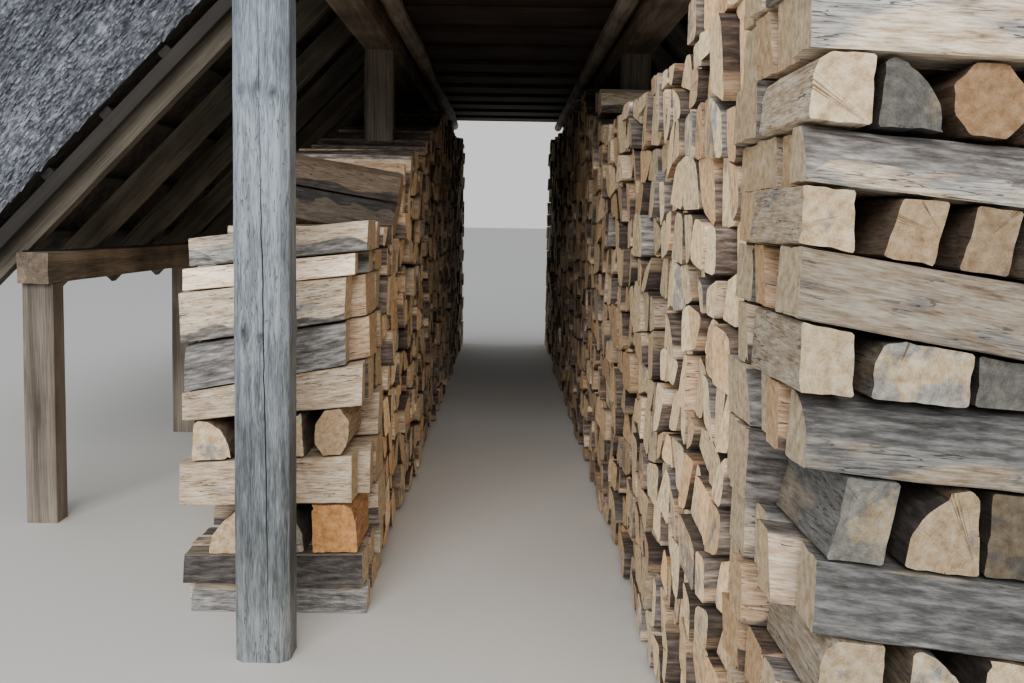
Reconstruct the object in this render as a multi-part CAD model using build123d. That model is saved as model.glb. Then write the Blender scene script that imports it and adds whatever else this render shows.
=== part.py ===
"""Thatched log store: two long stacks of split firewood with a straight covered passage between them.

Millimetres. X runs across the passage, Y runs along it away from the open front, Z is up.
The origin is on the ground under the middle of the whole store.
"""
from build123d import *
import math
import os
import random

# Posts and bays
bay_count = 3
bay_length = 2750
post_line = 585               # passage centre to the middle of the posts and plates
post_size = 135
front_post_size = 136
front_post_set_in = 12        # the two front posts stand a little nearer to the passage
post_wane = 16                # width of the waney edge on the outer corners
front_post_wane = 22

# Plates, ceiling poles and ceiling boards
plate_size = 140
plate_underside = 1840
pole_diameter = 84
pole_wander = 22              # how far the crooked poles stray from straight
pole_spans = 7
pole_taper = 0.2              # share of the diameter lost towards the far end
pole_sides = 8
board_thickness = 26
board_width = 330
board_pitch = 590
board_end_cover = 54          # how far the boards reach over the plates

# Stacks of split logs
passage_width = 718
log_length = 500
log_width = 112               # usual width of one split log
log_width_range = (0.8, 1.25)      # narrowest and widest log of a pillar, as shares of that
right_stack_reach = 1440      # the right stack runs out in front of the front posts
left_stack_set_back = 310     # the left stack starts behind its front post
step_unevenness = 24
end_unevenness = 22
smallest_log = 60
key_log_length = 300          # logs laid along the passage in a pillar, with short rows of logs behind them
prop_log_height = 112
rafter_room = 12              # between the highest logs and the rafters

# Roof
roof_pitch = 46
rafter_width = 66
rafter_depth = 102
rafter_count = 9
first_rafter = 1310           # from the front post line to the first and last rafters
rafter_notch = 20             # birdsmouth depth, plumb
rafter_tail = 150             # run of the rafter past the eave plate
verge_rafter_width = 40
verge_rafter_depth = 50       # the slim rafters under the ends of the battens
verge_rafter_set_in = 15      # from the lower edge of the reed
eave_line = 1600
eave_plate_size = 110
batten_width = 46
batten_thickness = 26
batten_count = 9
batten_set_in = 30
verge_overhang = 120          # lower edge of the thatch beyond the middle of the outer rafters
verge_slant = 0.3             # the verges lean out by this share of the height over their lower edge
thatch_thickness = 490
eave_overhang = 95            # thatch beyond the rafter ends, along the slope
thatch_trim = 30              # the upper edges of the reed at the verges are trimmed off by this much
eave_cut = [(70, 0), (0, 0.2), (-25, 0.5), (10, 0.82), (90, 1)]      # back from the eave's end, share of thickness
ridge_roll_reach = 520
ridge_roll_thickness = 95
ridge_roll_overhang = 20
ridge_roll_edge = 30           # how far its rounded edge stands out down the slope
ridge_roll_back = 60           # from that edge's top back up to the full thickness
ridge_crown = [(170, -75), (60, -8)]      # points of the rounded crown: out from the ridge, height from its top
ridge_crown_share = 0.55       # the crown's height as a share of the thickness

# Cut ends of split logs: (across, up) as shares of width and height. Ends that reach from
# seam to seam go a little past both and are trimmed to them.
cut_ends = {
    "block": [(0, -0.06), (1, -0.06), (0.97, 1.06), (0.04, 1.06)],
    "rounded block": [(0, -0.06), (0.96, -0.06), (1, 1.06), (0.42, 1.06), (0.12, 0.9), (0.02, 0.62)],
    "leaning block": [(0, -0.06), (0.78, -0.06), (1, 1.06), (0.29, 1.06)],
    "half": [(0, -0.06), (1, -0.06), (0.97, 0.5), (0.74, 0.9), (0.45, 1), (0.14, 0.83), (0, 0.42)],
    "quarter": [(0, -0.06), (1, -0.06), (0.93, 0.38), (0.7, 0.72), (0.44, 0.93), (0.2, 1.0), (0.1, 0.94)],
    "turned quarter": [(0, -0.06), (1, -0.06), (0.94, 0.92), (0.84, 1), (0.55, 0.95), (0.25, 0.72), (0.06, 0.38)],
    "round": [(0.25, -0.02), (0.72, -0.02), (1, 0.3), (0.97, 0.72), (0.7, 1), (0.27, 1), (0, 0.7), (0.03, 0.28)],
}
kinds_along = ["block", "quarter", "half", "rounded block", "turned quarter", "leaning block", "half"]
kinds_across = ["block", "rounded block", "block", "leaning block"]      # these can carry logs of the same lie

# Courses of the pillars from the ground up: how the logs lie (x across the stack, y along it),
# height of the course's top at the passage, its fall outwards, how far its first log stands back
# from the passage, and the first logs as (gap before, width, kind). The rest are drawn at random.
right_near_courses = [
    ("x", 95, 0.0, 4, [(0, 118, "block")]),
    ("y", 190, 0.03, 6, [(0, 96, "rounded block"), (8, 104, "quarter")]),
    ("x", 282, 0.05, 12, [(0, 106, "turned quarter")]),
    ("y", 372, 0.08, 2, [(0, 88, "block"), (14, 92, "turned quarter")]),
    ("x", 462, 0.10, 16, [(0, 112, "block")]),
    ("y", 557, 0.12, 40, [(0, 90, "rounded block"), (22, 92, "quarter")]),
    ("x", 655, 0.12, 32, [(0, 110, "block")]),
    ("y", 764, 0.10, 44, [(0, 94, "leaning block"), (6, 100, "turned quarter"), (6, 96, "block")]),
    ("x", 858, 0.075, 12, [(0, 104, "turned quarter")]),
    ("y", 950, 0.175, 2, [(0, 72, "block"), (18, 132, "rounded block"), (4, 90, "block")]),
    ("x", 1040, 0.145, -5, [(0, 116, "block")]),
    ("y", 1117, 0.105, -5, [(0, 74, "block"), (30, 86, "leaning block"), (10, 82, "leaning block")]),
    ("x", 1192, 0.08, 0, [(0, 108, "turned quarter")]),
    ("y", 1277, 0.042, 2, [(0, 84, "rounded block"), (4, 88, "quarter"), (4, 98, "round")]),
    ("x", 1372, 0.05, 0, [(0, 120, "block")]),
    ("y", 1456, 0.04, 4, [(0, 92, "block"), (10, 100, "half")]),
]
left_near_courses = [
    ("x", 76, 0.0, 0, [(0, 104, "turned quarter")]),
    ("x", 168, 0.02, 10, [(0, 112, "block")]),
    ("y", 306, 0.03, 28, [(0, 130, "rounded block"), (14, 96, "turned quarter"), (18, 150, "quarter")]),
    ("x", 440, 0.06, 40, [(0, 120, "block")]),
    ("y", 572, 0.10, 50, [(0, 98, "round"), (24, 70, "quarter"), (20, 96, "half"), (12, 110, "turned quarter")]),
    ("x", 690, 0.18, 16, [(0, 116, "block")]),
    ("x", 808, 0.16, 60, [(0, 112, "rounded block")]),
    ("x", 925, 0.11, 58, [(0, 108, "block")]),
    ("x", 985, 0.107, 36, [(0, 112, "block")]),
    ("x", 1070, 0.12, 2, [(0, 104, "block")]),
]
far_course = 105
far_pillar_room = 50          # least room between the far pillars and the plates

# Height of the stack tops: distance along the passage from the front post line, height. From the
# last listed place they rise to the full height, which they have from the place named full. At the
# listed places there is room for a loose log between the stack and the plate.
loose_log_room = 130
left_tops = [(800, 1060), (1290, 1070), (1300, 1020), (1540, 1020), (1550, 1280), (2900, 1470)]
left_full_from = 4400
right_tops = [(-1000, 1450), (1800, 1440), (2300, 1520), (2900, 1600)]
right_full_from = 3040

# Loose logs on top of the stacks
leaning_logs_place = 1330     # from the front post line
leaning_logs_set_back = 34    # so that the upper one, which leans inwards, stays clear of the passage
leaning_log_width = 150
leaning_log_rise = 0.17
upper_log_share = 0.9         # width of the upper one of the two, as a share of the lower one's
prop_share = 0.8              # place of the prop, as a share of the log's length
flat_logs = [(570, 140, 110), (330, 120, 95)]     # before the second post line, width, height

# Clearances: pieces that bear on each other lie this close
seat = 0.3
side_gap = 6                  # usual space between two logs of one course

# Places that follow from the sizes above
frame_length = bay_count * bay_length
front_line = (right_stack_reach - frame_length - front_post_size / 2) / 2
back_line = front_line + frame_length
plate_top = plate_underside + plate_size
plate_outer = post_line + plate_size / 2
plate_inner = post_line - plate_size / 2
stack_inner = passage_width / 2
stack_outer = stack_inner + log_length
left_front = front_line + left_stack_set_back
right_front = front_line - right_stack_reach
stack_back = back_line - left_stack_set_back
roof_front = front_line + first_rafter - verge_overhang
roof_back = back_line - first_rafter + verge_overhang
verge_lean = verge_slant * thatch_thickness
slope = math.tan(math.radians(roof_pitch))
lean = math.cos(math.radians(roof_pitch))
rafter_plumb = rafter_depth / lean
eave_outer = eave_line + eave_plate_size / 2
tail_end = eave_outer + rafter_tail


def rafter_underside(x):
    """Height of the rafters' lower edge at a distance from the passage centre."""
    return plate_top + seat - rafter_notch - (x - plate_outer - seat) * slope


eave_plate_top = rafter_underside(eave_outer + seat) + rafter_notch - seat


def along_y(points, start, end):
    """A bar of constant section: the outline's points are (x, z), the bar runs from start to end."""
    outline = Polyline(*[(x, start, z) for x, z in points], close=True)
    return extrude(make_face(outline), amount=end - start, dir=(0, 1, 0))


def along_x(points, start, end):
    """A bar whose outline's points are (y, z) and which runs across the passage."""
    outline = Polyline(*[(start, y, z) for y, z in points], close=True)
    return extrude(make_face(outline), amount=end - start, dir=(1, 0, 0))


def other_side(shape):
    """The same piece on the left of the passage."""
    return mirror(shape, about=Plane.YZ)


os.makedirs("parts", exist_ok=True)


def save(name, solids):
    """Writes one node. Loose pieces that share a node are kept as separate solids."""
    pieces = solids if isinstance(solids, list) else [solids]
    kept = [solid for piece in pieces for solid in piece.solids()]
    export_step(kept[0] if len(kept) == 1 else Compound(children=kept), f"parts/{name}.step")


def post(x, y, size, wane):
    """A hewn post with waney corners, standing on the ground under its plate."""
    half = size / 2
    corners = [(-half, -half), (half, -half), (half, half), (-half, half)]
    outline = Polyline(*[(x + u, y + v, 0) for u, v in corners], close=True)
    stick = extrude(make_face(outline), amount=plate_underside, dir=(0, 0, 1))
    return chamfer(stick.edges().filter_by(Axis.Z), length=wane)


post_lines = [front_line + bay_length * n for n in range(bay_count + 1)]
for number, y in enumerate(post_lines, start=1):
    if number == 1:
        stick = post(post_line - front_post_set_in, y, front_post_size, front_post_wane)
    else:
        stick = post(post_line, y, post_size, post_wane)
    save(f"right_post_{number}", stick)
    save(f"left_post_{number}", other_side(stick))

# The plates lie on the posts and run from the front post line to the back one
plate_ends = (front_line - front_post_size / 2, back_line + front_post_size / 2)
plate = along_y([(plate_inner, plate_underside), (plate_outer, plate_underside),
                 (plate_outer, plate_top), (plate_inner, plate_top)], *plate_ends)
save("right_plate", plate)
save("left_plate", other_side(plate))


def crooked_pole(seed):
    """A natural pole beside the plate, under the ends of the ceiling boards."""
    stray = random.Random(seed)
    sections = []
    for n in range(pole_spans + 1):
        taper = 1 - pole_taper * n / pole_spans
        radius = pole_diameter / 2 * taper
        x = plate_inner - seat - radius - stray.uniform(0, pole_wander)
        z = plate_top - seat - radius
        y = plate_ends[0] + (plate_ends[1] - plate_ends[0]) * n / pole_spans
        ring = Plane(origin=(x, y, z), x_dir=(1, 0, 0), z_dir=(0, 1, 0))
        flat_side_up = RegularPolygon(radius, pole_sides, major_radius=False, rotation=180 / pole_sides)
        sections.append(ring * flat_side_up)
    return loft(sections, ruled=True)


save("right_ceiling_pole", crooked_pole(3))
save("left_ceiling_pole", other_side(crooked_pole(8)))

# Ceiling boards: a spaced lower layer on the plates, and upper boards lapped over its gaps
board_reach = plate_inner + board_end_cover
board_count = int((plate_ends[1] - plate_ends[0] - board_width) // board_pitch) + 1
boards_length = (board_count - 1) * board_pitch + board_width
first_board = (plate_ends[0] + plate_ends[1] - boards_length) / 2


def ceiling_boards(count, first, underside):
    """Loose boards across the passage, one after another along it."""
    boards = []
    for n in range(count):
        near = first + n * board_pitch
        top = underside + board_thickness
        boards.append(along_x([(near, underside), (near + board_width, underside),
                               (near + board_width, top), (near, top)], -board_reach, board_reach))
    return boards


save("lower_ceiling_boards", ceiling_boards(board_count, first_board, plate_top + seat))
save("upper_ceiling_boards", ceiling_boards(board_count - 1, first_board + board_pitch / 2,
                                            plate_top + board_thickness + 2 * seat))

# Eave plates on short posts
eave_plate_underside = eave_plate_top - eave_plate_size
eave_inner = eave_line - eave_plate_size / 2
eave_plate = along_y([(eave_inner, eave_plate_underside), (eave_outer, eave_plate_underside),
                      (eave_outer, eave_plate_top), (eave_inner, eave_plate_top)],
                     roof_front + batten_set_in, roof_back - batten_set_in)
save("right_eave_plate", eave_plate)
save("left_eave_plate", other_side(eave_plate))

# Eave posts, from the first rafter line to the last
eave_post_run = frame_length - 2 * first_rafter
for number in range(1, bay_count + 2):
    y = front_line + first_rafter + eave_post_run * (number - 1) / bay_count
    stick = along_y([(eave_inner, 0), (eave_outer, 0), (eave_outer, eave_plate_underside),
                     (eave_inner, eave_plate_underside)], y - eave_plate_size / 2, y + eave_plate_size / 2)
    save(f"right_eave_post_{number}", stick)
    save(f"left_eave_post_{number}", other_side(stick))


def birdsmouth(outer, top):
    """Notch where a rafter sits on a plate: heel and seat, from the ridge side outwards."""
    heel = outer + seat
    toe = outer + seat - (rafter_notch - seat) / slope
    return [(toe, top + seat), (heel, top + seat), (heel, rafter_underside(heel))]


def rafter(y):
    """One rafter of the right slope, from the ridge to its tail past the eave plate."""
    under = [(seat / 2, rafter_underside(seat / 2))]
    under += birdsmouth(plate_outer, plate_top)
    under += birdsmouth(eave_outer, eave_plate_top)
    under += [(tail_end, rafter_underside(tail_end))]
    square_end = rafter_depth * math.sin(math.radians(roof_pitch))
    upper = [(tail_end + square_end, rafter_underside(tail_end + square_end) + rafter_plumb),
             (seat / 2, rafter_underside(seat / 2) + rafter_plumb)]
    return along_y(under + upper, y - rafter_width / 2, y + rafter_width / 2)


rafter_run = frame_length - 2 * first_rafter
rafter_lines = [front_line + first_rafter + rafter_run * n / (rafter_count - 1) for n in range(rafter_count)]


def up_slope(distance, height):
    """A point on the right slope: distance down from the ridge along the rafters, height above them."""
    run = distance * lean
    rise = distance * math.sin(math.radians(roof_pitch))
    ridge = rafter_underside(0) + rafter_plumb
    return (run + height * math.sin(math.radians(roof_pitch)), ridge - rise + height * lean)


slope_length = (tail_end + rafter_depth * math.sin(math.radians(roof_pitch))) / lean
ridge_height = up_slope(0, 0)[1]


def verge_rafter(near):
    """A slim rafter that the ends of the battens are fixed to, from the ridge to the rafter ends."""
    top = ridge_height - seat / 2 * slope
    return along_y([(seat / 2, top - verge_rafter_depth / lean), up_slope(slope_length, -verge_rafter_depth),
                    up_slope(slope_length, 0), (seat / 2, top)], near, near + verge_rafter_width)


rafters = [rafter(y) for y in rafter_lines]
rafters.append(verge_rafter(roof_front + verge_rafter_set_in))
rafters.append(verge_rafter(roof_back - verge_rafter_set_in - verge_rafter_width))
save("right_rafters", rafters)
save("left_rafters", [other_side(r) for r in rafters])

battens = []
for n in range(batten_count):
    low = batten_width + (slope_length - 2 * batten_width - batten_width) * (n + 0.5) / batten_count
    battens.append(along_y([up_slope(low, seat), up_slope(low + batten_width, seat),
                            up_slope(low + batten_width, seat + batten_thickness),
                            up_slope(low, seat + batten_thickness)],
                           roof_front + batten_set_in, roof_back - batten_set_in))
save("right_battens", battens)
save("left_battens", [other_side(b) for b in battens])


def thatch_slope():
    """One slope of reed: plumb at the ridge, rounded at the eave, its verges leaning out."""
    under = batten_thickness + 2 * seat
    top = under + thatch_thickness
    end = slope_length + eave_overhang
    ridge_x = seat / 2
    low = (ridge_x, ridge_height + under / lean - ridge_x * slope)
    high = (ridge_x, ridge_height + top / lean - ridge_x * slope)
    eave = [up_slope(end - back, under + share * thatch_thickness) for back, share in eave_cut]
    reed = along_y([low] + eave + [high], roof_front - verge_lean, roof_back + verge_lean)
    off_roof = Vector(math.sin(math.radians(roof_pitch)), 0, lean)
    for verge, forward in ((roof_front, -1), (roof_back, 1)):
        facing = Vector(0, forward, 0) - off_roof * verge_slant
        reed = split(reed, bisect_by=Plane(origin=(low[0], verge, low[1]), z_dir=facing), keep=Keep.BOTTOM)
    slope_line = Vector(lean, 0, -math.sin(math.radians(roof_pitch)))
    long_edges = [edge for edge in reed.edges() if edge.length > slope_length / 2
                  and abs(edge.tangent_at(0.5).dot(slope_line)) > 1 - 1e-6]
    upper_edges = sorted(long_edges, key=lambda edge: edge.center().Z)[-2:]
    return chamfer(upper_edges, length=thatch_trim)


thatch = thatch_slope()
save("right_thatch", thatch)
save("left_thatch", other_side(thatch))


def ridge_roll():
    """The saddle of reed over the ridge, lying on both slopes."""
    under = batten_thickness + 2 * seat + thatch_thickness + seat
    right_low = up_slope(ridge_roll_reach, under)
    right_edge = up_slope(ridge_roll_reach + ridge_roll_edge, under + ridge_roll_thickness / 2)
    right_high = up_slope(ridge_roll_reach - ridge_roll_back, under + ridge_roll_thickness)
    peak = ridge_height + under / lean
    crown = peak + ridge_roll_thickness * ridge_crown_share
    right = [right_low, right_edge, right_high] + [(x, crown + z) for x, z in ridge_crown]
    left = [(-x, z) for x, z in reversed(right)]
    overhang = verge_lean + ridge_roll_overhang
    return along_y([(0, peak)] + right + left, roof_front - overhang, roof_back + overhang)


save("ridge_roll", ridge_roll())


def seam_height(seam, x):
    """Height of a seam between two courses at a distance from the passage centre."""
    height, fall = seam
    return height - fall * (x - stack_inner)


def between_seams(lower, upper, near, far):
    """The space of one course: the solid between two sloping seams."""
    inside, outside = stack_inner - log_width, stack_outer + log_width
    return along_y([(inside, seam_height(lower, inside)), (outside, seam_height(lower, outside)),
                    (outside, seam_height(upper, outside) - seat), (inside, seam_height(upper, inside) - seat)],
                   near, far)


def log_across(kind, start, near, width, length, lower, upper):
    """A log that lies across the stack, its cut end towards the passage."""
    fall = lower[1]
    base = seam_height(lower, start)
    height = max(seam_height(upper, x) - seam_height(lower, x) for x in (start, start + length)) - seat
    end = Polyline(*[(start, near + u * width, base + v * height) for u, v in cut_ends[kind]], close=True)
    away = Vector(1, 0, -fall).normalized()
    return extrude(make_face(end), amount=length, dir=away)


def log_along(kind, start, near, width, length, lower, upper):
    """A log that lies along the passage, its cut end towards the front."""
    points = []
    for u, v in cut_ends[kind]:
        x = start + u * width
        base = seam_height(lower, x)
        points.append((x, base + v * (seam_height(upper, x) - seat - base)))
    return along_y(points, near, near + length)


def widths_to_fill(pick, room, first_logs, kinds):
    """Gap, width and kind of each log of a row: the first ones as given, the rest drawn to fill it."""
    row = list(first_logs)
    left = room - sum(gap + width for gap, width, _ in row)
    while left > smallest_log + side_gap:
        width = min(left - side_gap, log_width * pick.uniform(*log_width_range))
        if left - side_gap - width < smallest_log + side_gap:
            width = left - side_gap
        row.append((side_gap, width, pick.choice(kinds)))
        left -= width + side_gap
    return row


def row_across(pick, row, near, set_back, lower, upper):
    """Logs that lie across, one behind another along the passage. Only the first one's end is set."""
    logs = []
    y = near
    for n, (gap, width, kind) in enumerate(row):
        y += gap
        start = stack_inner + (set_back if n == 0 else pick.uniform(0, end_unevenness))
        length = log_length - pick.uniform(0, end_unevenness) - max(0, start - stack_inner - end_unevenness)
        logs.append(log_across(kind, start, y, width, length, lower, upper))
        y += width
    return logs


def pillar(seed, near_y, courses):
    """A criss-cross end pillar of courses that rest on each other along sloping seams."""
    pick = random.Random(seed)
    logs = []
    lower = (0, 0)
    for lie, height, fall, set_back, first_logs in courses:
        upper = (height, fall)
        if lie == "x":
            row = widths_to_fill(pick, log_length, first_logs, kinds_across)
            course = row_across(pick, row, near_y, set_back, lower, upper)
        else:
            row = widths_to_fill(pick, log_length - set_back, first_logs, kinds_along)
            course = []
            x = stack_inner + set_back
            for n, (gap, width, kind) in enumerate(row):
                x += gap
                short = pick.uniform(0, end_unevenness) if n > 0 else 0
                course.append(log_along(kind, x, near_y + short, width, key_log_length - short, lower, upper))
                x += width
            behind = near_y + key_log_length
            short_row = widths_to_fill(pick, log_length - key_log_length, [], kinds_across)
            course += row_across(pick, short_row, behind, 0, lower, upper)
        space = between_seams(lower, upper, near_y, near_y + log_length)
        logs += [space & log for log in course]
        lower = upper
    return logs


def drawn_courses(count, height):
    """Plain level courses, across and along by turns."""
    return [("xy"[n % 2], height * (n + 1), 0, side_gap, []) for n in range(count)]


far_pillar_front = stack_back - log_length
far_course_count = int((plate_underside - far_pillar_room) // far_course)
far_courses = drawn_courses(far_course_count, far_course)
save("right_near_pillar", pillar(11, right_front, right_near_courses))
save("left_near_pillar", [other_side(s) for s in pillar(5, left_front, left_near_courses)])
save("right_far_pillar", pillar(23, far_pillar_front, far_courses))
save("left_far_pillar", [other_side(s) for s in pillar(31, far_pillar_front, far_courses)])

# The stacks reach up to just under the rafters at their outer side
highest_log = rafter_underside(stack_outer) - rafter_room


def top_height(tops, full_from, distance):
    """Height of the stack at a distance from the front post line, straight between the listed places."""
    places = [(y, min(z, plate_underside - loose_log_room)) for y, z in tops] + [(full_from, highest_log)]
    for (y0, z0), (y1, z1) in zip(places, places[1:]):
        if distance <= y1:
            return min(highest_log, z0 + (z1 - z0) * max(0, (distance - y0) / (y1 - y0)))
    return highest_log


def log_steps(seed, tops, full_from, near, far):
    """The stepped top of one bay: near end, far end and height of each row of logs."""
    pick = random.Random(seed)
    count = round((far - near) / log_width)
    steps = []
    for n in range(count):
        y0 = near + (far - near) * n / count
        y1 = near + (far - near) * (n + 1) / count
        top = top_height(tops, full_from, (y0 + y1) / 2 - front_line)
        steps.append((y0, y1, top - pick.uniform(0, step_unevenness)))
    return steps


def stack_bay(steps):
    """Logs lying across, from one post line to the next, with room for the posts that rise out of them."""
    near, far = steps[0][0], steps[-1][1]
    points = [(near, 0)]
    for y0, y1, z in steps:
        points += [(y0, z), (y1, z)]
    bay = along_x(points + [(far, 0)], stack_inner, stack_outer)
    for number, line in enumerate(post_lines):
        size, middle = (post_size, post_line)
        if number == 0:
            size, middle = (front_post_size, post_line - front_post_set_in)
        hole = size + 2 * seat
        if near - hole / 2 < line < far + hole / 2:
            bay -= Pos(middle, line, plate_underside / 2) * Box(hole, hole, plate_underside)
    return bay


def bay_ends(front):
    """Near and far ends of each bay of a stack, split at the post lines."""
    start = front + log_length
    lines = [start] + [y for y in post_lines if start < y < far_pillar_front] + [far_pillar_front]
    return [(a + seat, b - seat) for a, b in zip(lines, lines[1:])]


right_steps = [log_steps(100 + n, right_tops, right_full_from, *ends)
               for n, ends in enumerate(bay_ends(right_front))]
left_steps = [log_steps(200 + n, left_tops, left_full_from, *ends)
              for n, ends in enumerate(bay_ends(left_front))]
for number, steps in enumerate(right_steps, start=1):
    save(f"right_stack_bay_{number}", stack_bay(steps))
for number, steps in enumerate(left_steps, start=1):
    save(f"left_stack_bay_{number}", other_side(stack_bay(steps)))


def resting_height(bays, near, far):
    """Top of the highest row of logs between two places along the passage."""
    return max(z for steps in bays for y0, y1, z in steps if y0 < far and y1 > near)


def loose_log(kind, start, near, base, width, height, away):
    """One log on top of a stack: its cut end at start, lying on its base."""
    outline = [(u, min(max(v, 0), 1)) for u, v in cut_ends[kind]]
    up = Vector(-away.Z, 0, away.X)
    corner = Vector(start, near, base)
    end = Polyline(*[corner + Vector(0, u * width, 0) + up * (v * height) for u, v in outline], close=True)
    return extrude(make_face(end), amount=log_length, dir=away)


def leaning_logs(bays):
    """Two logs on top of a stack, one on the other, propped up at their outer ends by a thin stick."""
    near = front_line + leaning_logs_place
    width, rise = leaning_log_width, leaning_log_rise
    base = resting_height(bays, near, near + width) + seat
    away = Vector(1, 0, rise).normalized()
    up = Vector(-away.Z, 0, away.X)
    foot = Vector(stack_inner + leaning_logs_set_back, near, base)
    lower = loose_log("block", foot.X, near, base, width, prop_log_height, away)
    upper_foot = foot + up * (prop_log_height + seat)
    upper = loose_log("half", upper_foot.X, near, upper_foot.Z, width * upper_log_share, prop_log_height, away)
    prop_place = foot.X + log_length * prop_share
    prop_height = (prop_place - foot.X) * rise - seat
    prop = along_y([(prop_place, base), (prop_place + prop_height, base),
                    (prop_place + prop_height, base + prop_height), (prop_place, base + prop_height)],
                   near, near + width)
    return [lower, upper, prop]


def flat_log(bays, distance, width, height):
    """A single log lying across the top of a stack."""
    near = front_line + distance
    base = resting_height(bays, near, near + width) + seat
    return loose_log("half", stack_inner + end_unevenness, near, base, width, height, Vector(1, 0, 0))


save("left_top_logs", [other_side(s) for s in leaning_logs(left_steps)])
save("right_top_logs", [flat_log(right_steps, bay_length - before, width, height)
                        for before, width, height in flat_logs])
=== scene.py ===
"""Looks of the thatched log store, built around its packed construction. Metres."""
import math
import random

import bmesh
import bpy
import numpy as np
from mathutils import Matrix, Vector, noise


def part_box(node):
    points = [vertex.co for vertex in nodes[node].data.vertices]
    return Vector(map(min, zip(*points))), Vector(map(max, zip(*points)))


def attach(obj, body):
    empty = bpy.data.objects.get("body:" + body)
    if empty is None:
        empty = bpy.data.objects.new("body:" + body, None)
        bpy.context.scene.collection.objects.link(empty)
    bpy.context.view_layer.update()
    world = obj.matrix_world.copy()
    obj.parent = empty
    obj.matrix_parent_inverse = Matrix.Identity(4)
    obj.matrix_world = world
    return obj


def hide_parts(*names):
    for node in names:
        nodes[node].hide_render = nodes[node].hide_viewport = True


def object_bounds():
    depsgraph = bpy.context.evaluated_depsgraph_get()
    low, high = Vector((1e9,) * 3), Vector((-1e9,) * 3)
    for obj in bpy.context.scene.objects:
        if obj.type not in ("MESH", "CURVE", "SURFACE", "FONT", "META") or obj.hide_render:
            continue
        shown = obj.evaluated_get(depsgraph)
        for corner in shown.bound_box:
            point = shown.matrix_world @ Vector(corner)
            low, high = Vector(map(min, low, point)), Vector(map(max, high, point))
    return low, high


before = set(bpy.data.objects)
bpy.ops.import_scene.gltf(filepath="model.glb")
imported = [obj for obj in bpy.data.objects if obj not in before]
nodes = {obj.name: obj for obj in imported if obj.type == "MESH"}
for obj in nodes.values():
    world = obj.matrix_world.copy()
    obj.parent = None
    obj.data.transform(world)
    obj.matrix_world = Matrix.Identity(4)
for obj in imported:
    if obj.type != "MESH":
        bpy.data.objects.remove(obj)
cad_box = [list(corner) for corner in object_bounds()]

# Floor and light
# A plain pale floor and an even sky, with one large soft lamp high in front of the left stack.
# They are not part of the store.


def linear(hex_colour):
    """An sRGB colour written as hex, as linear red, green, blue and alpha."""
    parts = [int(hex_colour[i:i + 2], 16) / 255 for i in (1, 3, 5)]
    return [c / 12.92 if c <= 0.04045 else ((c + 0.055) / 1.055) ** 2.4 for c in parts] + [1.0]


def put(tree, kind, ins=None, stops=(), **settings):
    """Adds one node with its settings, and sets or links its inputs. Stops are those of a colour ramp.

    An input is a number, a socket, or a node whose first socket in use is meant.
    """
    added = tree.nodes.new(kind)
    for key, value in settings.items():
        setattr(added, key, value)
    for key, value in (ins or {}).items():
        if isinstance(value, bpy.types.Node):
            value = next(socket for socket in value.outputs if socket.enabled)
        if isinstance(value, bpy.types.NodeSocket):
            tree.links.new(value, added.inputs[key])
        else:
            added.inputs[key].default_value = value
    for _ in stops[2:]:
        added.color_ramp.elements.new(0.5)
    for k, (place, colour) in enumerate(stops):
        added.color_ramp.elements[k].position = place
        added.color_ramp.elements[k].color = linear(colour)
    return added


def new_material(name):
    """An empty material: its node tree and its surface shader."""
    material = bpy.data.materials.new(name)
    material.use_nodes = True
    tree = material.node_tree
    return material, tree, tree.nodes["Principled BSDF"]


def finish(tree, shader, colour, bump):
    """Links a colour and a bump to the surface shader."""
    for key, node in (("Base Color", colour), ("Normal", bump)):
        tree.links.new(next(socket for socket in node.outputs if socket.enabled), shader.inputs[key])


floor_material, tree, shader = new_material("pale studio floor")
shader.inputs["Base Color"].default_value = linear("#D9D7D2")
shader.inputs["Roughness"].default_value = 0.9

floor_mesh = bpy.data.meshes.new("studio floor")
floor_reach = 400.0
floor_mesh.from_pydata([(-floor_reach, -floor_reach, 0), (floor_reach, -floor_reach, 0),
                        (floor_reach, floor_reach, 0), (-floor_reach, floor_reach, 0)], [], [(0, 1, 2, 3)])
floor_mesh.materials.append(floor_material)
studio_floor = bpy.data.objects.new("studio_floor", floor_mesh)
bpy.context.collection.objects.link(studio_floor)

world = bpy.data.worlds.new("even sky")
bpy.context.scene.world = world
world.use_nodes = True
sky = world.node_tree
sky.nodes.clear()
rays = put(sky, "ShaderNodeLightPath").outputs
lit = put(sky, "ShaderNodeBackground", {"Color": linear("#E6EBF0"), "Strength": 0.75})
seen = put(sky, "ShaderNodeBackground", {"Color": linear("#F0F1EF"), "Strength": 1.0})
direct = put(sky, "ShaderNodeMath", {0: rays["Is Camera Ray"], 1: rays["Is Glossy Ray"]}, operation="MAXIMUM")
clear = put(sky, "ShaderNodeMath", {0: direct, 1: rays["Is Transmission Ray"]}, operation="MAXIMUM")
mixed = put(sky, "ShaderNodeMixShader", {"Fac": clear, 1: lit, 2: seen})
put(sky, "ShaderNodeOutputWorld", {"Surface": mixed})

lamp = bpy.data.lights.new("soft lamp", "AREA")
lamp.shape = "RECTANGLE"
lamp.size = 9.0
lamp.size_y = 6.0
lamp.energy = 2600
soft_lamp = bpy.data.objects.new("soft_lamp", lamp)
soft_lamp.location = (-1.5, -17.0, 6.5)
lamp_aim = Vector((0.2, -3.0, 0.8)) - soft_lamp.location
soft_lamp.rotation_euler = lamp_aim.to_track_quat("-Z", "Y").to_euler()
bpy.context.collection.objects.link(soft_lamp)

# Camera
# It stands in the passage's line, 2.9 m in front of the front posts, at chest height, and looks a
# little down.
front_line = -3.439
stand_back = 2.92
eye_height = 1.06
picture_width = 1024
focal_pixels = 1219

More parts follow.
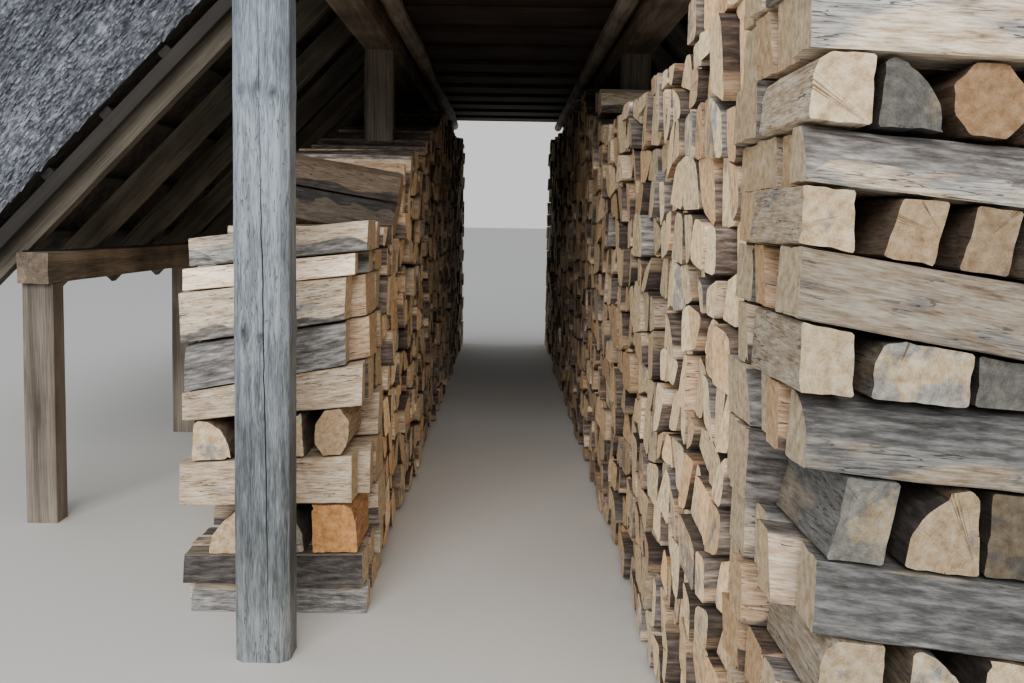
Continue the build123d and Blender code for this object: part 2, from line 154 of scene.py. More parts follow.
camera_data = bpy.data.cameras.new("passage camera")
camera_data.sensor_width = 36
camera_data.lens = focal_pixels / picture_width * camera_data.sensor_width
camera = bpy.data.objects.new("passage_camera", camera_data)
pitch_down, yaw_right, roll_clockwise = math.radians(5.46), math.radians(0.38), math.radians(0.9)
camera.matrix_world = (Matrix.Translation((0, front_line - stand_back, eye_height))
                       @ Matrix.Rotation(-yaw_right, 4, "Z")
                       @ Matrix.Rotation(math.radians(90) - pitch_down, 4, "X")
                       @ Matrix.Rotation(roll_clockwise, 4, "Z"))
bpy.context.collection.objects.link(camera)
bpy.context.scene.camera = camera


# Posts
# Hewn softwood posts, left bare for years. The two front ones stand in the rain and are silver grey
# with a long drying crack; the others are under the roof and browner.


def solids_of(node_name):
    """The separate solids of a construction node: for each its corners and its outward planes.

    Corners and faces are kept in dictionaries, which give them in the same order each run.
    """
    shape = bmesh.new()
    shape.from_mesh(nodes[node_name].data)
    bmesh.ops.remove_doubles(shape, verts=shape.verts, dist=1e-5)
    waiting = dict.fromkeys(shape.verts)
    solids = []
    while waiting:
        reached = [waiting.popitem()[0]]
        for vertex in reached:
            for edge in vertex.link_edges:
                other = edge.other_vert(vertex)
                if other in waiting:
                    del waiting[other]
                    reached.append(other)
        faces = dict.fromkeys(face for vertex in reached for face in vertex.link_faces
                              if face.calc_area() > 1e-7)
        planes = {}
        for face in faces:
            normal = face.normal
            reach = normal.dot(face.verts[0].co)
            planes[tuple(round(v, 3) for v in normal) + (round(reach, 3),)] = (*normal, reach)
        corners = np.array([vertex.co for vertex in reached])
        solids.append({"corners": corners, "planes": np.array(list(planes.values())),
                       "along": np.eye(3)[np.ptp(corners, axis=0).argmax()]})
    shape.free()
    return sorted(solids, key=lambda s: tuple(s["corners"].mean(axis=0).round(4)))


def bar_sections(solid, spacing, step, worn=0.003):
    """Cuts a straight convex bar into sections along it, with points round each section.

    The sections turn from the plane of one cut end to that of the other. Their points leave out the
    sharp corners, so the edges come out worn.
    """
    end_facing, end_slack, tiny, far_off = 0.85, 0.004, 1e-6, 9.0
    along = solid["along"]
    is_end = abs(solid["planes"][:, :3] @ along) > end_facing
    ends, sides = solid["planes"][is_end], solid["planes"][~is_end]
    near_cut = -ends[(ends[:, :3] @ along).argmin()][:3]
    far_cut = ends[(ends[:, :3] @ along).argmax()][:3]
    corners = solid["corners"]
    near_reach, far_reach = corners @ near_cut, corners @ far_cut
    first = corners[near_reach < near_reach.min() + end_slack].mean(axis=0)
    last = corners[far_reach > far_reach.max() - end_slack].mean(axis=0)
    length = np.linalg.norm(last - first)
    count = max(2, round(length / step) + 1)
    shares = np.linspace(0, 1, count)[:, None]
    centres = first + (last - first) * shares
    cuts = near_cut + (far_cut - near_cut) * shares
    cuts /= np.linalg.norm(cuts, axis=1)[:, None]
    level = np.array([0.0, 1.0, 0.0]) if abs(along[0]) > 0.7 else np.array([1.0, 0.0, 0.0])
    across = level - cuts * (cuts @ level)[:, None]
    across /= np.linalg.norm(across, axis=1)[:, None]
    up = np.cross(cuts, across)
    if up[0][2] < -0.1 or (abs(up[0][2]) < 0.1 and up[0][1] < 0):
        up = -up

    # The order of the sides round the middle section, by rays from its centre
    middle = count // 2
    turn = np.linspace(0, 2 * math.pi, 721)[:-1, None]
    rays = np.cos(turn) * across[middle] + np.sin(turn) * up[middle]
    towards = rays @ sides[:, :3].T
    room = sides[:, 3] - sides[:, :3] @ centres[middle]
    met = np.where(towards > tiny, room / np.maximum(towards, tiny), far_off).argmin(axis=1)
    order = [side for side, before in zip(met, np.roll(met, 1)) if side != before]
    order = [side for side, before in zip(order, order[-1:] + order[:-1])
             if sides[side, :3] @ sides[before, :3] < 0.9995]

    # Exact corners of every section: where two neighbouring sides meet its plane
    edges = []
    for side, before in zip(order, order[-1:] + order[:-1]):
        planes = np.stack([np.stack([sides[before, :3], sides[side, :3], cut]) for cut in cuts])
        reaches = np.stack([(sides[before, 3], sides[side, 3], cut @ centre)
                            for cut, centre in zip(cuts, centres)])
        edges.append(np.linalg.solve(planes, reaches[:, :, None])[:, :, 0])
    points, normals = [], []
    for side, start, end in zip(order, edges, edges[1:] + edges[:1]):
        size = np.linalg.norm(end[middle] - start[middle])
        inset = min(worn / max(size, tiny), 0.35)
        pieces = max(1, round(size * (1 - 2 * inset) / spacing))
        for k in range(pieces + 1):
            points.append(start + (end - start) * (inset + (1 - 2 * inset) * k / pieces))
            normals.append(sides[side, :3])
    points = np.stack(points, axis=1)
    away = points - centres[:, None]
    room = sides[:, 3] - centres @ sides[:, :3].T
    towards = away @ sides[:, :3].T
    kept = np.where(towards > tiny, room[:, None] / np.maximum(towards, tiny), far_off).min(axis=2)
    away *= np.minimum(1.0, kept)[:, :, None]
    flat = np.stack([(away * across[:, None]).sum(axis=2), (away * up[:, None]).sum(axis=2)], axis=2)
    normals = np.array(normals)
    return {"centres": centres, "points": centres[:, None] + away, "flat": flat, "across": across, "up": up,
            "normals": np.stack([normals @ across[middle], normals @ up[middle]], axis=1), "length": length}


def wood_noise(place, size_along, size_across, salt):
    """Smooth noise drawn out along the grain: place is (along, across, up)."""
    return noise.noise(Vector((place[0] / size_along + salt * 7.3, place[1] / size_across,
                               place[2] / size_across + salt * 3.1)))


def store(mesh, key, values, domain="POINT"):
    """Stores a value for each point or face of a mesh: whole numbers, numbers or places."""
    if isinstance(values[0], tuple):
        flat_values = [part for value in values for part in value]
        mesh.attributes.new(key, "FLOAT_VECTOR", domain).data.foreach_set("vector", flat_values)
    else:
        kind = "INT" if isinstance(values[0], int) else "FLOAT"
        mesh.attributes.new(key, kind, domain).data.foreach_set("value", values)


rim_width = 0.05              # of a cut end, as a share of its radius


class Carving:
    """Points, faces and point values of one piece while it is made."""

    def __init__(self):
        self.points, self.faces, self.sawn, self.values = [], [], [], {}

    def bar(self, points, values):
        """Adds one closed bar: points by section, with their values by name."""
        sections, around = points.shape[:2]
        start = len(self.points)
        along = (points[-1].mean(axis=0) - points[0].mean(axis=0))
        along /= np.linalg.norm(along)
        first, last = points[0].mean(axis=0), points[-1].mean(axis=0)
        self.points += [tuple(p) for ring in points for p in ring]
        turned = np.cross(points[0][0] - first, points[0][1] - first) @ along < 0
        for j in range(sections - 1):
            for i in range(around):
                a, b = start + j * around + i, start + j * around + (i + 1) % around
                face = (a, b, b + around, a + around)
                self.faces.append(face[::-1] if turned else face)
                self.sawn.append(0.0)
        for ring, centre, way in ((0, first, -1), (sections - 1, last, 1)):
            rim = len(self.points)
            self.points += [tuple(p + (centre - p) * rim_width) for p in points[ring]]
            self.points.append(tuple(centre))
            for i in range(around):
                a, b = start + ring * around + i, start + ring * around + (i + 1) % around
                c, d = rim + (i + 1) % around, rim + i
                quad, fan = (a, b, c, d), (d, c, rim + around)
                if (way < 0) != turned:
                    quad, fan = quad[::-1], fan[::-1]
                self.faces += [quad, fan]
                self.sawn += [1.0, 1.0]
        for name, value in values.items():
            kept = self.values.setdefault(name, [])
            if np.ndim(value) == 0:
                kept += [value] * (len(self.points) - start)
                continue
            kept += [tuple(v) if np.ndim(v) else v for ring in value for v in ring]
            for ring in (0, sections - 1):
                rim_values = [tuple(v) if np.ndim(v) else v for v in value[ring]]
                middle = np.mean(rim_values, axis=0)
                kept += rim_values + [tuple(middle) if np.ndim(middle) else float(middle)]

    def piece(self, name, material):
        """The finished object, at the origin."""
        mesh = bpy.data.meshes.new(name)
        mesh.from_pydata(self.points, [], self.faces)
        store(mesh, "sawn", self.sawn, "FACE")
        for key, value in self.values.items():
            store(mesh, key, value)
        mesh.materials.append(material)
        made = bpy.data.objects.new(name, mesh)
        bpy.context.collection.objects.link(made)
        return made


def object_place(tree, scale, turn=(0, 0, 0)):
    """Object coordinates, first turned and then scaled, for a pattern of a real size."""
    place = put(tree, "ShaderNodeTexCoord").outputs["Object"]
    turned = put(tree, "ShaderNodeMapping", {"Vector": place, "Rotation": turn})
    return put(tree, "ShaderNodeMapping", {"Vector": turned, "Scale": scale})


def timber(name, dark, middle, light, along, fibre=0.004, figure=0.035, stretch=40, turn=(0, 0, 0),
           contrast=0.12, knots=False, checks=0.0, foot=None):
    """Bare weathered timber: fine fibres and a broader figure, both drawn out along the grain.

    Knots turn the grain aside and show as dark spots, and the same mark paints shade into a long
    crack; checks are fine dark drying cracks, and the foot colour shades the lowest metre, where rain
    splashes up.
    """
    material, tree, shader = new_material(name)

    def grain(width):
        """A place that counts features of this width, longer along the grain and bent by knots."""
        scale = [1 / width] * 3
        scale[along] = 1 / (width * stretch)
        place = object_place(tree, scale, turn)
        if knots:
            shift = put(tree, "ShaderNodeAttribute", attribute_name="grain_shift").outputs["Vector"]
            moved = put(tree, "ShaderNodeVectorMath", {0: shift, 1: (1 / width,) * 3}, operation="MULTIPLY")
            place = put(tree, "ShaderNodeVectorMath", {0: place, 1: moved}, operation="ADD")
        return place
    fibres = put(tree, "ShaderNodeTexNoise", {"Vector": grain(fibre), "Scale": 1.0, "Detail": 3.0,
                                              "Roughness": 0.6})
    figures = put(tree, "ShaderNodeTexNoise", {"Vector": grain(figure), "Scale": 1.0, "Detail": 4.0,
                                               "Roughness": 0.6, "Distortion": 0.4})
    stains = put(tree, "ShaderNodeTexNoise", {"Vector": object_place(tree, (3, 3, 3)), "Scale": 1.0,
                                              "Detail": 5.0})
    both = put(tree, "ShaderNodeMix", {"Factor": 0.5, 2: fibres, 3: figures}, data_type="FLOAT")
    level = put(tree, "ShaderNodeMix", {"Factor": 0.35, 2: both, 3: stains}, data_type="FLOAT")
    colour = put(tree, "ShaderNodeValToRGB", {"Fac": level},
                 stops=((0.5 - contrast, dark), (0.5, middle), (0.5 + contrast, light)))
    if checks:
        seams = put(tree, "ShaderNodeTexNoise", {"Vector": grain(0.009), "Scale": 1.0, "Detail": 2.0})
        line = put(tree, "ShaderNodeMath", {0: seams, 1: 0.5, 2: 0.012}, operation="COMPARE")
        place = put(tree, "ShaderNodeMapRange", {0: stains, 1: 0.45, 2: 0.6, 4: checks})
        here = put(tree, "ShaderNodeMath", {0: line, 1: place}, operation="MULTIPLY")
        colour = put(tree, "ShaderNodeMix", {"Factor": here, 6: colour, 7: linear("#2C2E31")},
                     data_type="RGBA")
    if knots:
        # Dark knots, and painted shade down the long crack, come from the same mark.
        dark_spot = put(tree, "ShaderNodeAttribute", attribute_name="knot_and_crack_shade").outputs["Fac"]
        colour = put(tree, "ShaderNodeMix", {"Factor": dark_spot, 6: colour, 7: linear("#23262A")},
                     data_type="RGBA")
    if foot:
        height = put(tree, "ShaderNodeSeparateXYZ", {"Vector": object_place(tree, (1, 1, 1))}).outputs["Z"]
        low = put(tree, "ShaderNodeMapRange", {0: height, 1: 0.2, 2: 1.6, 3: 1.0, 4: 0.0})
        shaded = put(tree, "ShaderNodeMix", {"Factor": 1.0, 6: colour, 7: linear(foot)}, data_type="RGBA",
                     blend_type="MULTIPLY")
        colour = put(tree, "ShaderNodeMix", {"Factor": low, 6: colour, 7: shaded}, data_type="RGBA")
    shader.inputs["Roughness"].default_value = 0.85
    bump = put(tree, "ShaderNodeBump", {"Height": both, "Distance": 0.002, "Strength": 0.6})
    finish(tree, shader, colour, bump)
    return material


knot_stretch, knot_bend, knot_core, knot_swell = 0.7, 0.75, 1.9, 0.003
crack_half_width, crack_taper = 0.002, 0.2


def hewn(name, node_names, material, spacing, step, uneven, crack=None, knots=()):
    """Straight timbers of one finish: the construction's bars with worn edges and an uneven surface.

    The crack is (place across at its foot, at its top, height of its foot, of its top) on the near face,
    and the knots are (across, height, size) there.
    """
    carving = Carving()
    for node_name in node_names:
        for number, solid in enumerate(solids_of(node_name)):
            cuts = bar_sections(solid, spacing, step)
            rings, shifts, knot_and_crack_shade_marks = [], [], []
            for j, centre in enumerate(cuts["centres"]):
                ring, shift, spot = [], [], []
                for i, flat in enumerate(cuts["flat"][j]):
                    radius = np.linalg.norm(flat)
                    ray = (cuts["points"][j, i] - centre) / radius
                    place = (cuts["length"] * j / (len(cuts["centres"]) - 1), *flat)
                    swell = 0.5 + 0.5 * wood_noise(place, 0.35, 0.06, number + 1)
                    fleck = 0.5 + 0.5 * wood_noise(place, 0.09, 0.012, number + 2)
                    point = centre + ray * (radius - uneven * swell - uneven * 0.35 * fleck)
                    moved, dark_spot = [0.0, 0.0, 0.0], 0.0
                    near_face = cuts["normals"][i] @ np.array([0.0, -1.0]) > 0.9
                    for knot_x, knot_z, size in knots:
                        away = math.hypot(point[0] - knot_x, (point[2] - knot_z) * knot_stretch)
                        pull = math.exp(-(away / size) ** 2)
                        moved[0] -= (point[0] - knot_x) * pull * knot_bend
                        dark_spot += math.exp(-(away / size * knot_core) ** 2) * 0.9
                        point = point + ray * knot_swell * pull
                    ring.append(point)
                    shift.append(tuple(moved))
                    spot.append(min(1.0, dark_spot) if near_face else 0.0)
                rings.append(ring)
                shifts.append(shift)
                knot_and_crack_shade_marks.append(spot)
            rings = np.array(rings)
            if crack:
                foot_x, top_x, low, high = crack
                faces_front = cuts["normals"] @ np.array([0.0, -1.0]) > 0.9
                front_points = [i for i in range(len(faces_front)) if faces_front[i]]
                for j, ring in enumerate(rings):
                    z = ring[:, 2].mean()
                    open_share = max(0.0, min(1.0, (z - low) / crack_taper, (high - z) / crack_taper))
                    bend = foot_x + (top_x - foot_x) * (z - low) / (high - low)
                    bend += 0.004 * noise.noise(Vector((0, 0, z * 5)))
                    bend += 0.002 * noise.noise(Vector((0, 0, z * 21)))
                    nearest = min(front_points[1:-1], key=lambda i: abs(ring[i][0] - bend))
                    order = sorted((nearest - 1, nearest, nearest + 1), key=lambda i: ring[i][0])
                    for i, side in zip(order, (-1, 0, 1)):
                        ring[i][0] = bend + side * crack_half_width * (0.45 + 0.35 * open_share)
                    ring[nearest][1] += 0.002 + 0.008 * open_share
                    # Painted shade: the crack's middle point is marked dark, besides being cut in.
                    knot_and_crack_shade_marks[j][nearest] = max(knot_and_crack_shade_marks[j][nearest], 0.5 + 0.4 * open_share)
            values = {}
            if knots:
                values = {"grain_shift": shifts, "knot_and_crack_shade": knot_and_crack_shade_marks}
            carving.bar(rings, values)
    made = carving.piece(name, material)
    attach(made, "root")
    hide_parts(*node_names)
    return made


silver_post = timber("silver grey softwood post", "#434A51", "#727C86", "#99A4AF", 2, fibre=0.0022,
                     figure=0.01, stretch=14, contrast=0.095, knots=True, checks=0.7, foot="#E6DDD0")
brown_post = timber("brown grey softwood post", "#40372F", "#6B6055", "#8F8475", 2)
hewn("left_front_post", ["left_post_1"], silver_post, 0.0055, 0.011, 0.003,
     crack=(-0.557, -0.571, 0.2, 1.2),
     knots=((-0.619, 1.36, 0.016), (-0.575, 1.372, 0.018), (-0.543, 1.355, 0.022), (-0.517, 1.365, 0.014),
            (-0.61, 0.8, 0.024), (-0.575, 0.79, 0.012), (-0.514, 0.81, 0.018), (-0.567, 0.6, 0.014)))
hewn("right_front_post", ["right_post_1"], silver_post, 0.0055, 0.02, 0.003,
     crack=(0.556, 0.56, 0.5, 1.5), knots=((0.58, 0.62, 0.03), (0.545, 1.3, 0.03)))
inner_posts = [f"{side}_post_{n}" for side in ("left", "right") for n in (2, 3, 4)]
hewn("inner_posts", inner_posts, brown_post, 0.02, 0.06, 0.004)
eave_posts = [f"{side}_eave_post_{n}" for side in ("left", "right") for n in (1, 2, 3, 4)]
hewn("eave_posts", eave_posts, brown_post, 0.02, 0.06, 0.004)

# Plates and eave plates
# Squared beams along the post tops and under the rafter feet, hewn and gone brown grey.
beam_wood = timber("brown grey softwood beam", "#40362C", "#6F6050", "#9A8A78", 1)
hewn("plates", ["left_plate", "right_plate", "left_eave_plate", "right_eave_plate"], beam_wood,
     0.02, 0.08, 0.004)


# Ceiling boards
# Wide sawn boards laid across the passage in two lapped layers, stained dark red brown with age.
ceiling_wood = timber("dark red brown sawn boards", "#1E1511", "#35261E", "#503D31", 0)
hewn("ceiling_boards", ["lower_ceiling_boards", "upper_ceiling_boards"], ceiling_wood,
     0.03, 0.085, 0.0008)

# Firewood: the criss-cross pillars
# Logs of oak, ash and birch split by hand. Each has sawn ends with yearly rings, torn faces along the
# fibres and bark on its round side. Rain has greyed the outer ones. Laid crosswise by turns, they
# hold up the ends of the stacks.


def firewood_material():
    """One finish for all logs. Their point values say where bark is and where each log's heart lies."""
    material, tree, shader = new_material("split firewood")
    names = ("log_number", "bark", "sawn", "greyed", "tone", "warm", "aged_and_shaded_sides", "pale_ends")
    number, bark, sawn, grey, tone, warm, aged_and_shaded_sides, pale_ends = (
        put(tree, "ShaderNodeAttribute", attribute_name=name).outputs["Fac"] for name in names)
    heart = put(tree, "ShaderNodeAttribute", attribute_name="from_heart").outputs["Vector"]

    def pattern(scale, detail, roughness=0.6):
        """Noise in each log's own place, with features to the metre along it and across it."""
        place = put(tree, "ShaderNodeMapping", {"Vector": heart, "Scale": scale})
        return put(tree, "ShaderNodeTexNoise", {"Vector": place, "Scale": 1.0, "Detail": detail,
                                                "Roughness": roughness, "W": number}, noise_dimensions="4D")
    # Torn faces: fibres 4 mm wide and a broader figure, both drawn out along the log
    figure = pattern((11, 58, 58), 6.0, 0.7)
    torn_level = put(tree, "ShaderNodeMix", {"Factor": 0.45, 2: pattern((26, 300, 300), 4.0, 0.7), 3: figure},
                     data_type="FLOAT")
    torn_fresh = put(tree, "ShaderNodeValToRGB", {"Fac": torn_level},
                     stops=((0.36, "#6E5843"), (0.46, "#B69E82"), (0.6, "#E6DAC4")))
    torn_grey = put(tree, "ShaderNodeValToRGB", {"Fac": torn_level},
                    stops=((0.34, "#44413F"), (0.46, "#86827D"), (0.62, "#C0BDB6")))
    # Fine checks: short dark cracks along the fibres, in some parts only
    patchy = pattern((5, 17, 17), 3.0)
    check_line = put(tree, "ShaderNodeMath", {0: pattern((8, 120, 120), 2.0, 0.5), 1: 0.5, 2: 0.012},
                     operation="COMPARE")
    check_part = put(tree, "ShaderNodeMapRange", {0: patchy, 1: 0.42, 2: 0.52, 4: 0.85})
    checks = put(tree, "ShaderNodeMath", {0: check_line, 1: check_part}, operation="MULTIPLY")
    # Sawn ends: yearly rings round the heart, blotches and short drying cracks
    ring_width = 0.0045
    flat_place = put(tree, "ShaderNodeMapping", {"Vector": heart, "Scale": (0, 1, 1)})
    wobble = put(tree, "ShaderNodeTexNoise", {"Vector": flat_place, "Scale": 22.0, "Detail": 2.0,
                                              "W": number}, noise_dimensions="4D")
    radius = put(tree, "ShaderNodeVectorMath", {0: flat_place}, operation="LENGTH")
    bent = put(tree, "ShaderNodeMath", {0: wobble, 1: 0.014, 2: radius}, operation="MULTIPLY_ADD")
    turns = put(tree, "ShaderNodeMath", {0: bent, 1: 2 * math.pi / ring_width}, operation="MULTIPLY")
    rings = put(tree, "ShaderNodeMath", {0: turns}, operation="SINE")
    blotch = pattern((0, 52, 52), 6.0, 0.72)
    end_level = put(tree, "ShaderNodeMath", {0: rings, 1: 0.016, 2: blotch}, operation="MULTIPLY_ADD")
    end_fresh = put(tree, "ShaderNodeValToRGB", {"Fac": end_level},
                    stops=((0.3, "#8F7250"), (0.48, "#C9B08A"), (0.66, "#EADABB")))
    end_grey = put(tree, "ShaderNodeValToRGB", {"Fac": end_level},
                   stops=((0.3, "#57524D"), (0.48, "#8F8A82"), (0.66, "#BDB8AD")))
    across = put(tree, "ShaderNodeSeparateXYZ", {"Vector": heart}).outputs
    round_heart = put(tree, "ShaderNodeMath", {0: across["Z"], 1: across["Y"]}, operation="ARCTAN2")
    spoke_place = put(tree, "ShaderNodeCombineXYZ", {"X": round_heart})
    spokes = put(tree, "ShaderNodeTexNoise", {"Vector": spoke_place, "Scale": 3.0, "Detail": 1.0,
                                              "W": number}, noise_dimensions="4D")
    end_line = put(tree, "ShaderNodeMath", {0: spokes, 1: 0.56, 2: 0.003}, operation="COMPARE")
    end_cracks = put(tree, "ShaderNodeMath", {0: end_line, 1: check_part}, operation="MULTIPLY")
    # Bark: dark ridges along the log with paler lichen, more of it on grey logs
    ridges = pattern((16, 95, 95), 5.0, 0.7)
    brown = put(tree, "ShaderNodeValToRGB", {"Fac": ridges},
                stops=((0.34, "#1F1A17"), (0.47, "#4F443D"), (0.6, "#7A6E66"), (0.7, "#A69E97")))
    lichen = put(tree, "ShaderNodeValToRGB", {"Fac": ridges},
                 stops=((0.32, "#3B3938"), (0.46, "#74726F"), (0.58, "#A3A29F"), (0.7, "#C9C9C7")))
    bark_colour = put(tree, "ShaderNodeMix", {"Factor": grey, 6: brown, 7: lichen}, data_type="RGBA")
    # Grey comes in patches, which cover more of a log the greyer it is
    grey_from = put(tree, "ShaderNodeMapRange", {0: grey, 3: 0.66, 4: 0.34})
    grey_to = put(tree, "ShaderNodeMath", {0: grey_from, 1: 0.1}, operation="ADD")
    grey_here = put(tree, "ShaderNodeMapRange", {0: patchy, 1: grey_from, 2: grey_to})
    torn = put(tree, "ShaderNodeMix", {"Factor": grey_here, 6: torn_fresh, 7: torn_grey}, data_type="RGBA")
    torn = put(tree, "ShaderNodeMix", {"Factor": checks, 6: torn, 7: linear("#3A302A")}, data_type="RGBA")
    edge = put(tree, "ShaderNodeMath", {0: figure, 1: 0.5, 2: bark}, operation="MULTIPLY_ADD")
    bark_share = put(tree, "ShaderNodeMapRange", {0: edge, 1: 0.62, 2: 0.82})
    sides = put(tree, "ShaderNodeMix", {"Factor": bark_share, 6: torn, 7: bark_colour}, data_type="RGBA")
    # Painted shade: the sides of some logs are darkened as in the gaps between logs; on stacked logs it also
    # stands for old bark.
    dark = put(tree, "ShaderNodeMix", {"Factor": 1.0, 6: sides, 7: linear("#8F857C")}, data_type="RGBA",
               blend_type="MULTIPLY")
    sides = put(tree, "ShaderNodeMix", {"Factor": aged_and_shaded_sides, 6: sides, 7: dark}, data_type="RGBA")
    # Ends in the shelter of the passage have stayed pale, however grey the log's sides are
    pale = put(tree, "ShaderNodeMath", {0: pale_ends, 1: sawn}, operation="MULTIPLY")
    ends = put(tree, "ShaderNodeMix", {"Factor": grey_here, 6: end_fresh, 7: end_grey}, data_type="RGBA")
    ends = put(tree, "ShaderNodeMix", {"Factor": pale, 6: ends, 7: end_fresh}, data_type="RGBA")
    ends = put(tree, "ShaderNodeMix", {"Factor": end_cracks, 6: ends, 7: linear("#5B4632")}, data_type="RGBA")
    lightness = put(tree, "ShaderNodeMix", {"Factor": pale, 2: tone, 3: 0.85}, data_type="FLOAT")
    whole = put(tree, "ShaderNodeMix", {"Factor": sawn, 6: sides, 7: ends}, data_type="RGBA")
    orange = put(tree, "ShaderNodeMix", {"Factor": 1.0, 6: whole, 7: linear("#F5BC7C")}, data_type="RGBA",
                 blend_type="MULTIPLY")
    whole = put(tree, "ShaderNodeMix", {"Factor": warm, 6: whole, 7: orange}, data_type="RGBA")
    shade = put(tree, "ShaderNodeHueSaturation", {"Color": whole, "Value": lightness})
    shader.inputs["Roughness"].default_value = 0.85
    side_heights = put(tree, "ShaderNodeMix", {"Factor": bark_share, 2: torn_level, 3: ridges},
                       data_type="FLOAT")
    heights = put(tree, "ShaderNodeMix", {"Factor": sawn, 2: side_heights, 3: blotch}, data_type="FLOAT")
    bump = put(tree, "ShaderNodeBump", {"Height": heights, "Distance": 0.006, "Strength": 0.6})
    finish(tree, shader, shade, bump)
    return material


firewood = firewood_material()
no_bark = (0.0, 0.0)


def split_logs(name, node_name, seed, spacing, step, seen=()):
    """Every log of a pillar, shaped from its solid in the construction.

    The logs in seen are known by the place of their near end (across, up); each of them has
    how grey, how light and how warm it is and which way its bark looks. Bark can have a third value:
    the share of the log's thickness that it covers from that side.
    """
    near_room, seen_room, shaded_from = 0.06, 0.035, 0.475
    bark_facing, bark_fade, bark_roundness, bark_wander = 0.45, 0.25, 0.94, 1.3
    torn_depth, torn_swell, torn_edges, bark_flecks, deepest = 0.003, 1.3, 1.5, 0.9, 0.4
    end_lean, end_room = 0.05, 0.0045
    pick = random.Random(seed)
    carving = Carving()
    solids = solids_of(node_name)
    near = min(s["corners"][:, 1].min() for s in solids)
    for number, solid in enumerate(solids, start=1):
        cuts = bar_sections(solid, spacing, step)
        grey = min(1.0, max(0.0, pick.gauss(0.3, 0.3)))
        light, warm = pick.uniform(0.7, 1.1), 0.5 * pick.random() ** 3
        bark_way = pick.choice([no_bark, (0, 1, 0.1), (0, -1, 0.35), (1, 0.3, 0.2), (-1, 0.3, 0.2)])
        middle = solid["corners"].mean(axis=0)
        lies_across = abs(solid["along"][0]) > 0.7
        if solid["corners"][:, 1].min() < near + near_room:
            for x, z, *look in seen:
                away = abs(z - middle[2]) + (0.0 if lies_across else abs(x - middle[0]))
                if away < seen_room:
                    grey, light, warm, bark_way = look
        # The sides of logs that lie end on inside a pillar get painted shade, as in the gaps between them
        aged_and_shaded_sides = 0.8 if not lies_across and abs(middle[0]) > shaded_from else 0.0
        outline = cuts["flat"][len(cuts["flat"]) // 2]
        way = np.array(bark_way[:2], dtype=float)
        cover = bark_way[2] if len(bark_way) > 2 else 0.0
        if way.any():
            way /= np.linalg.norm(way)
            reaches = outline @ way
            heart = outline[reaches.argmin()] * 0.9
            rounded = np.clip((cuts["normals"] @ way - bark_facing) / bark_fade, 0, 1)
            from_bark = (reaches.max() - reaches) / np.ptp(reaches)
        else:
            heart = outline[pick.randrange(len(outline))] * pick.uniform(0.3, 1.2)
            rounded, from_bark = np.zeros(len(outline)), np.ones(len(outline))
        farthest = np.linalg.norm(outline - heart, axis=1).max()
        salt = number + seed
        slant = pick.uniform(-end_lean, end_lean), pick.uniform(-end_lean, end_lean)
        rings, hearts, barks = [], [], []
        count = len(cuts["centres"])
        for j, centre in enumerate(cuts["centres"]):
            ring, from_heart = [], []
            s = cuts["length"] * j / (count - 1)
            covered = cover * (1 + bark_wander * wood_noise((s, 0, 0), 0.11, 1, salt + 3))
            on_bark = np.maximum(rounded, np.clip((covered - from_bark) / 0.15, 0, 1))
            for i, flat in enumerate(cuts["flat"][j]):
                reach = np.linalg.norm(flat - heart)
                if rounded[i] > 0 and reach > farthest * bark_roundness:
                    flat = heart + (flat - heart) * (farthest * bark_roundness / reach)
                place = (s, flat[0], flat[1])
                swell = 0.5 + 0.5 * wood_noise(place, 0.22, 0.055, salt)
                torn = abs(wood_noise(place, 0.16, 0.014, salt + 1))
                fleck = 0.5 + 0.5 * wood_noise(place, 0.03, 0.02, salt + 2)
                rough = torn_edges * torn * (1 - on_bark[i]) + bark_flecks * fleck * on_bark[i]
                depth = torn_depth * (torn_swell * swell + rough)
                size = np.linalg.norm(flat)
                flat = flat * (1 - min(deepest, depth / size))
                point = centre + cuts["across"][j] * flat[0] + cuts["up"][j] * flat[1]
                leans = slant[0] * flat[0] + slant[1] * flat[1] - end_room
                if j == 0:
                    point = point - solid["along"] * leans
                if j == count - 1:
                    point = point + solid["along"] * leans
                ring.append(point)
                from_heart.append((s, flat[0] - heart[0], flat[1] - heart[1]))
            rings.append(ring)
            hearts.append(from_heart)
            barks.append(list(on_bark))
        carving.bar(np.array(rings), {
            "from_heart": hearts, "bark": barks, "log_number": float(number), "greyed": grey, "tone": light,
            "warm": warm, "aged_and_shaded_sides": aged_and_shaded_sides, "pale_ends": 0.85 if lies_across else 0.0})
    made = carving.piece(name, firewood)
    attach(made, "root")
    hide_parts(node_name)
    return made


# Which way bark looks: on logs that lie across, and on logs that lie end on
front = (-1, 0)
inward, outward = (-1, 0), (1, 0)
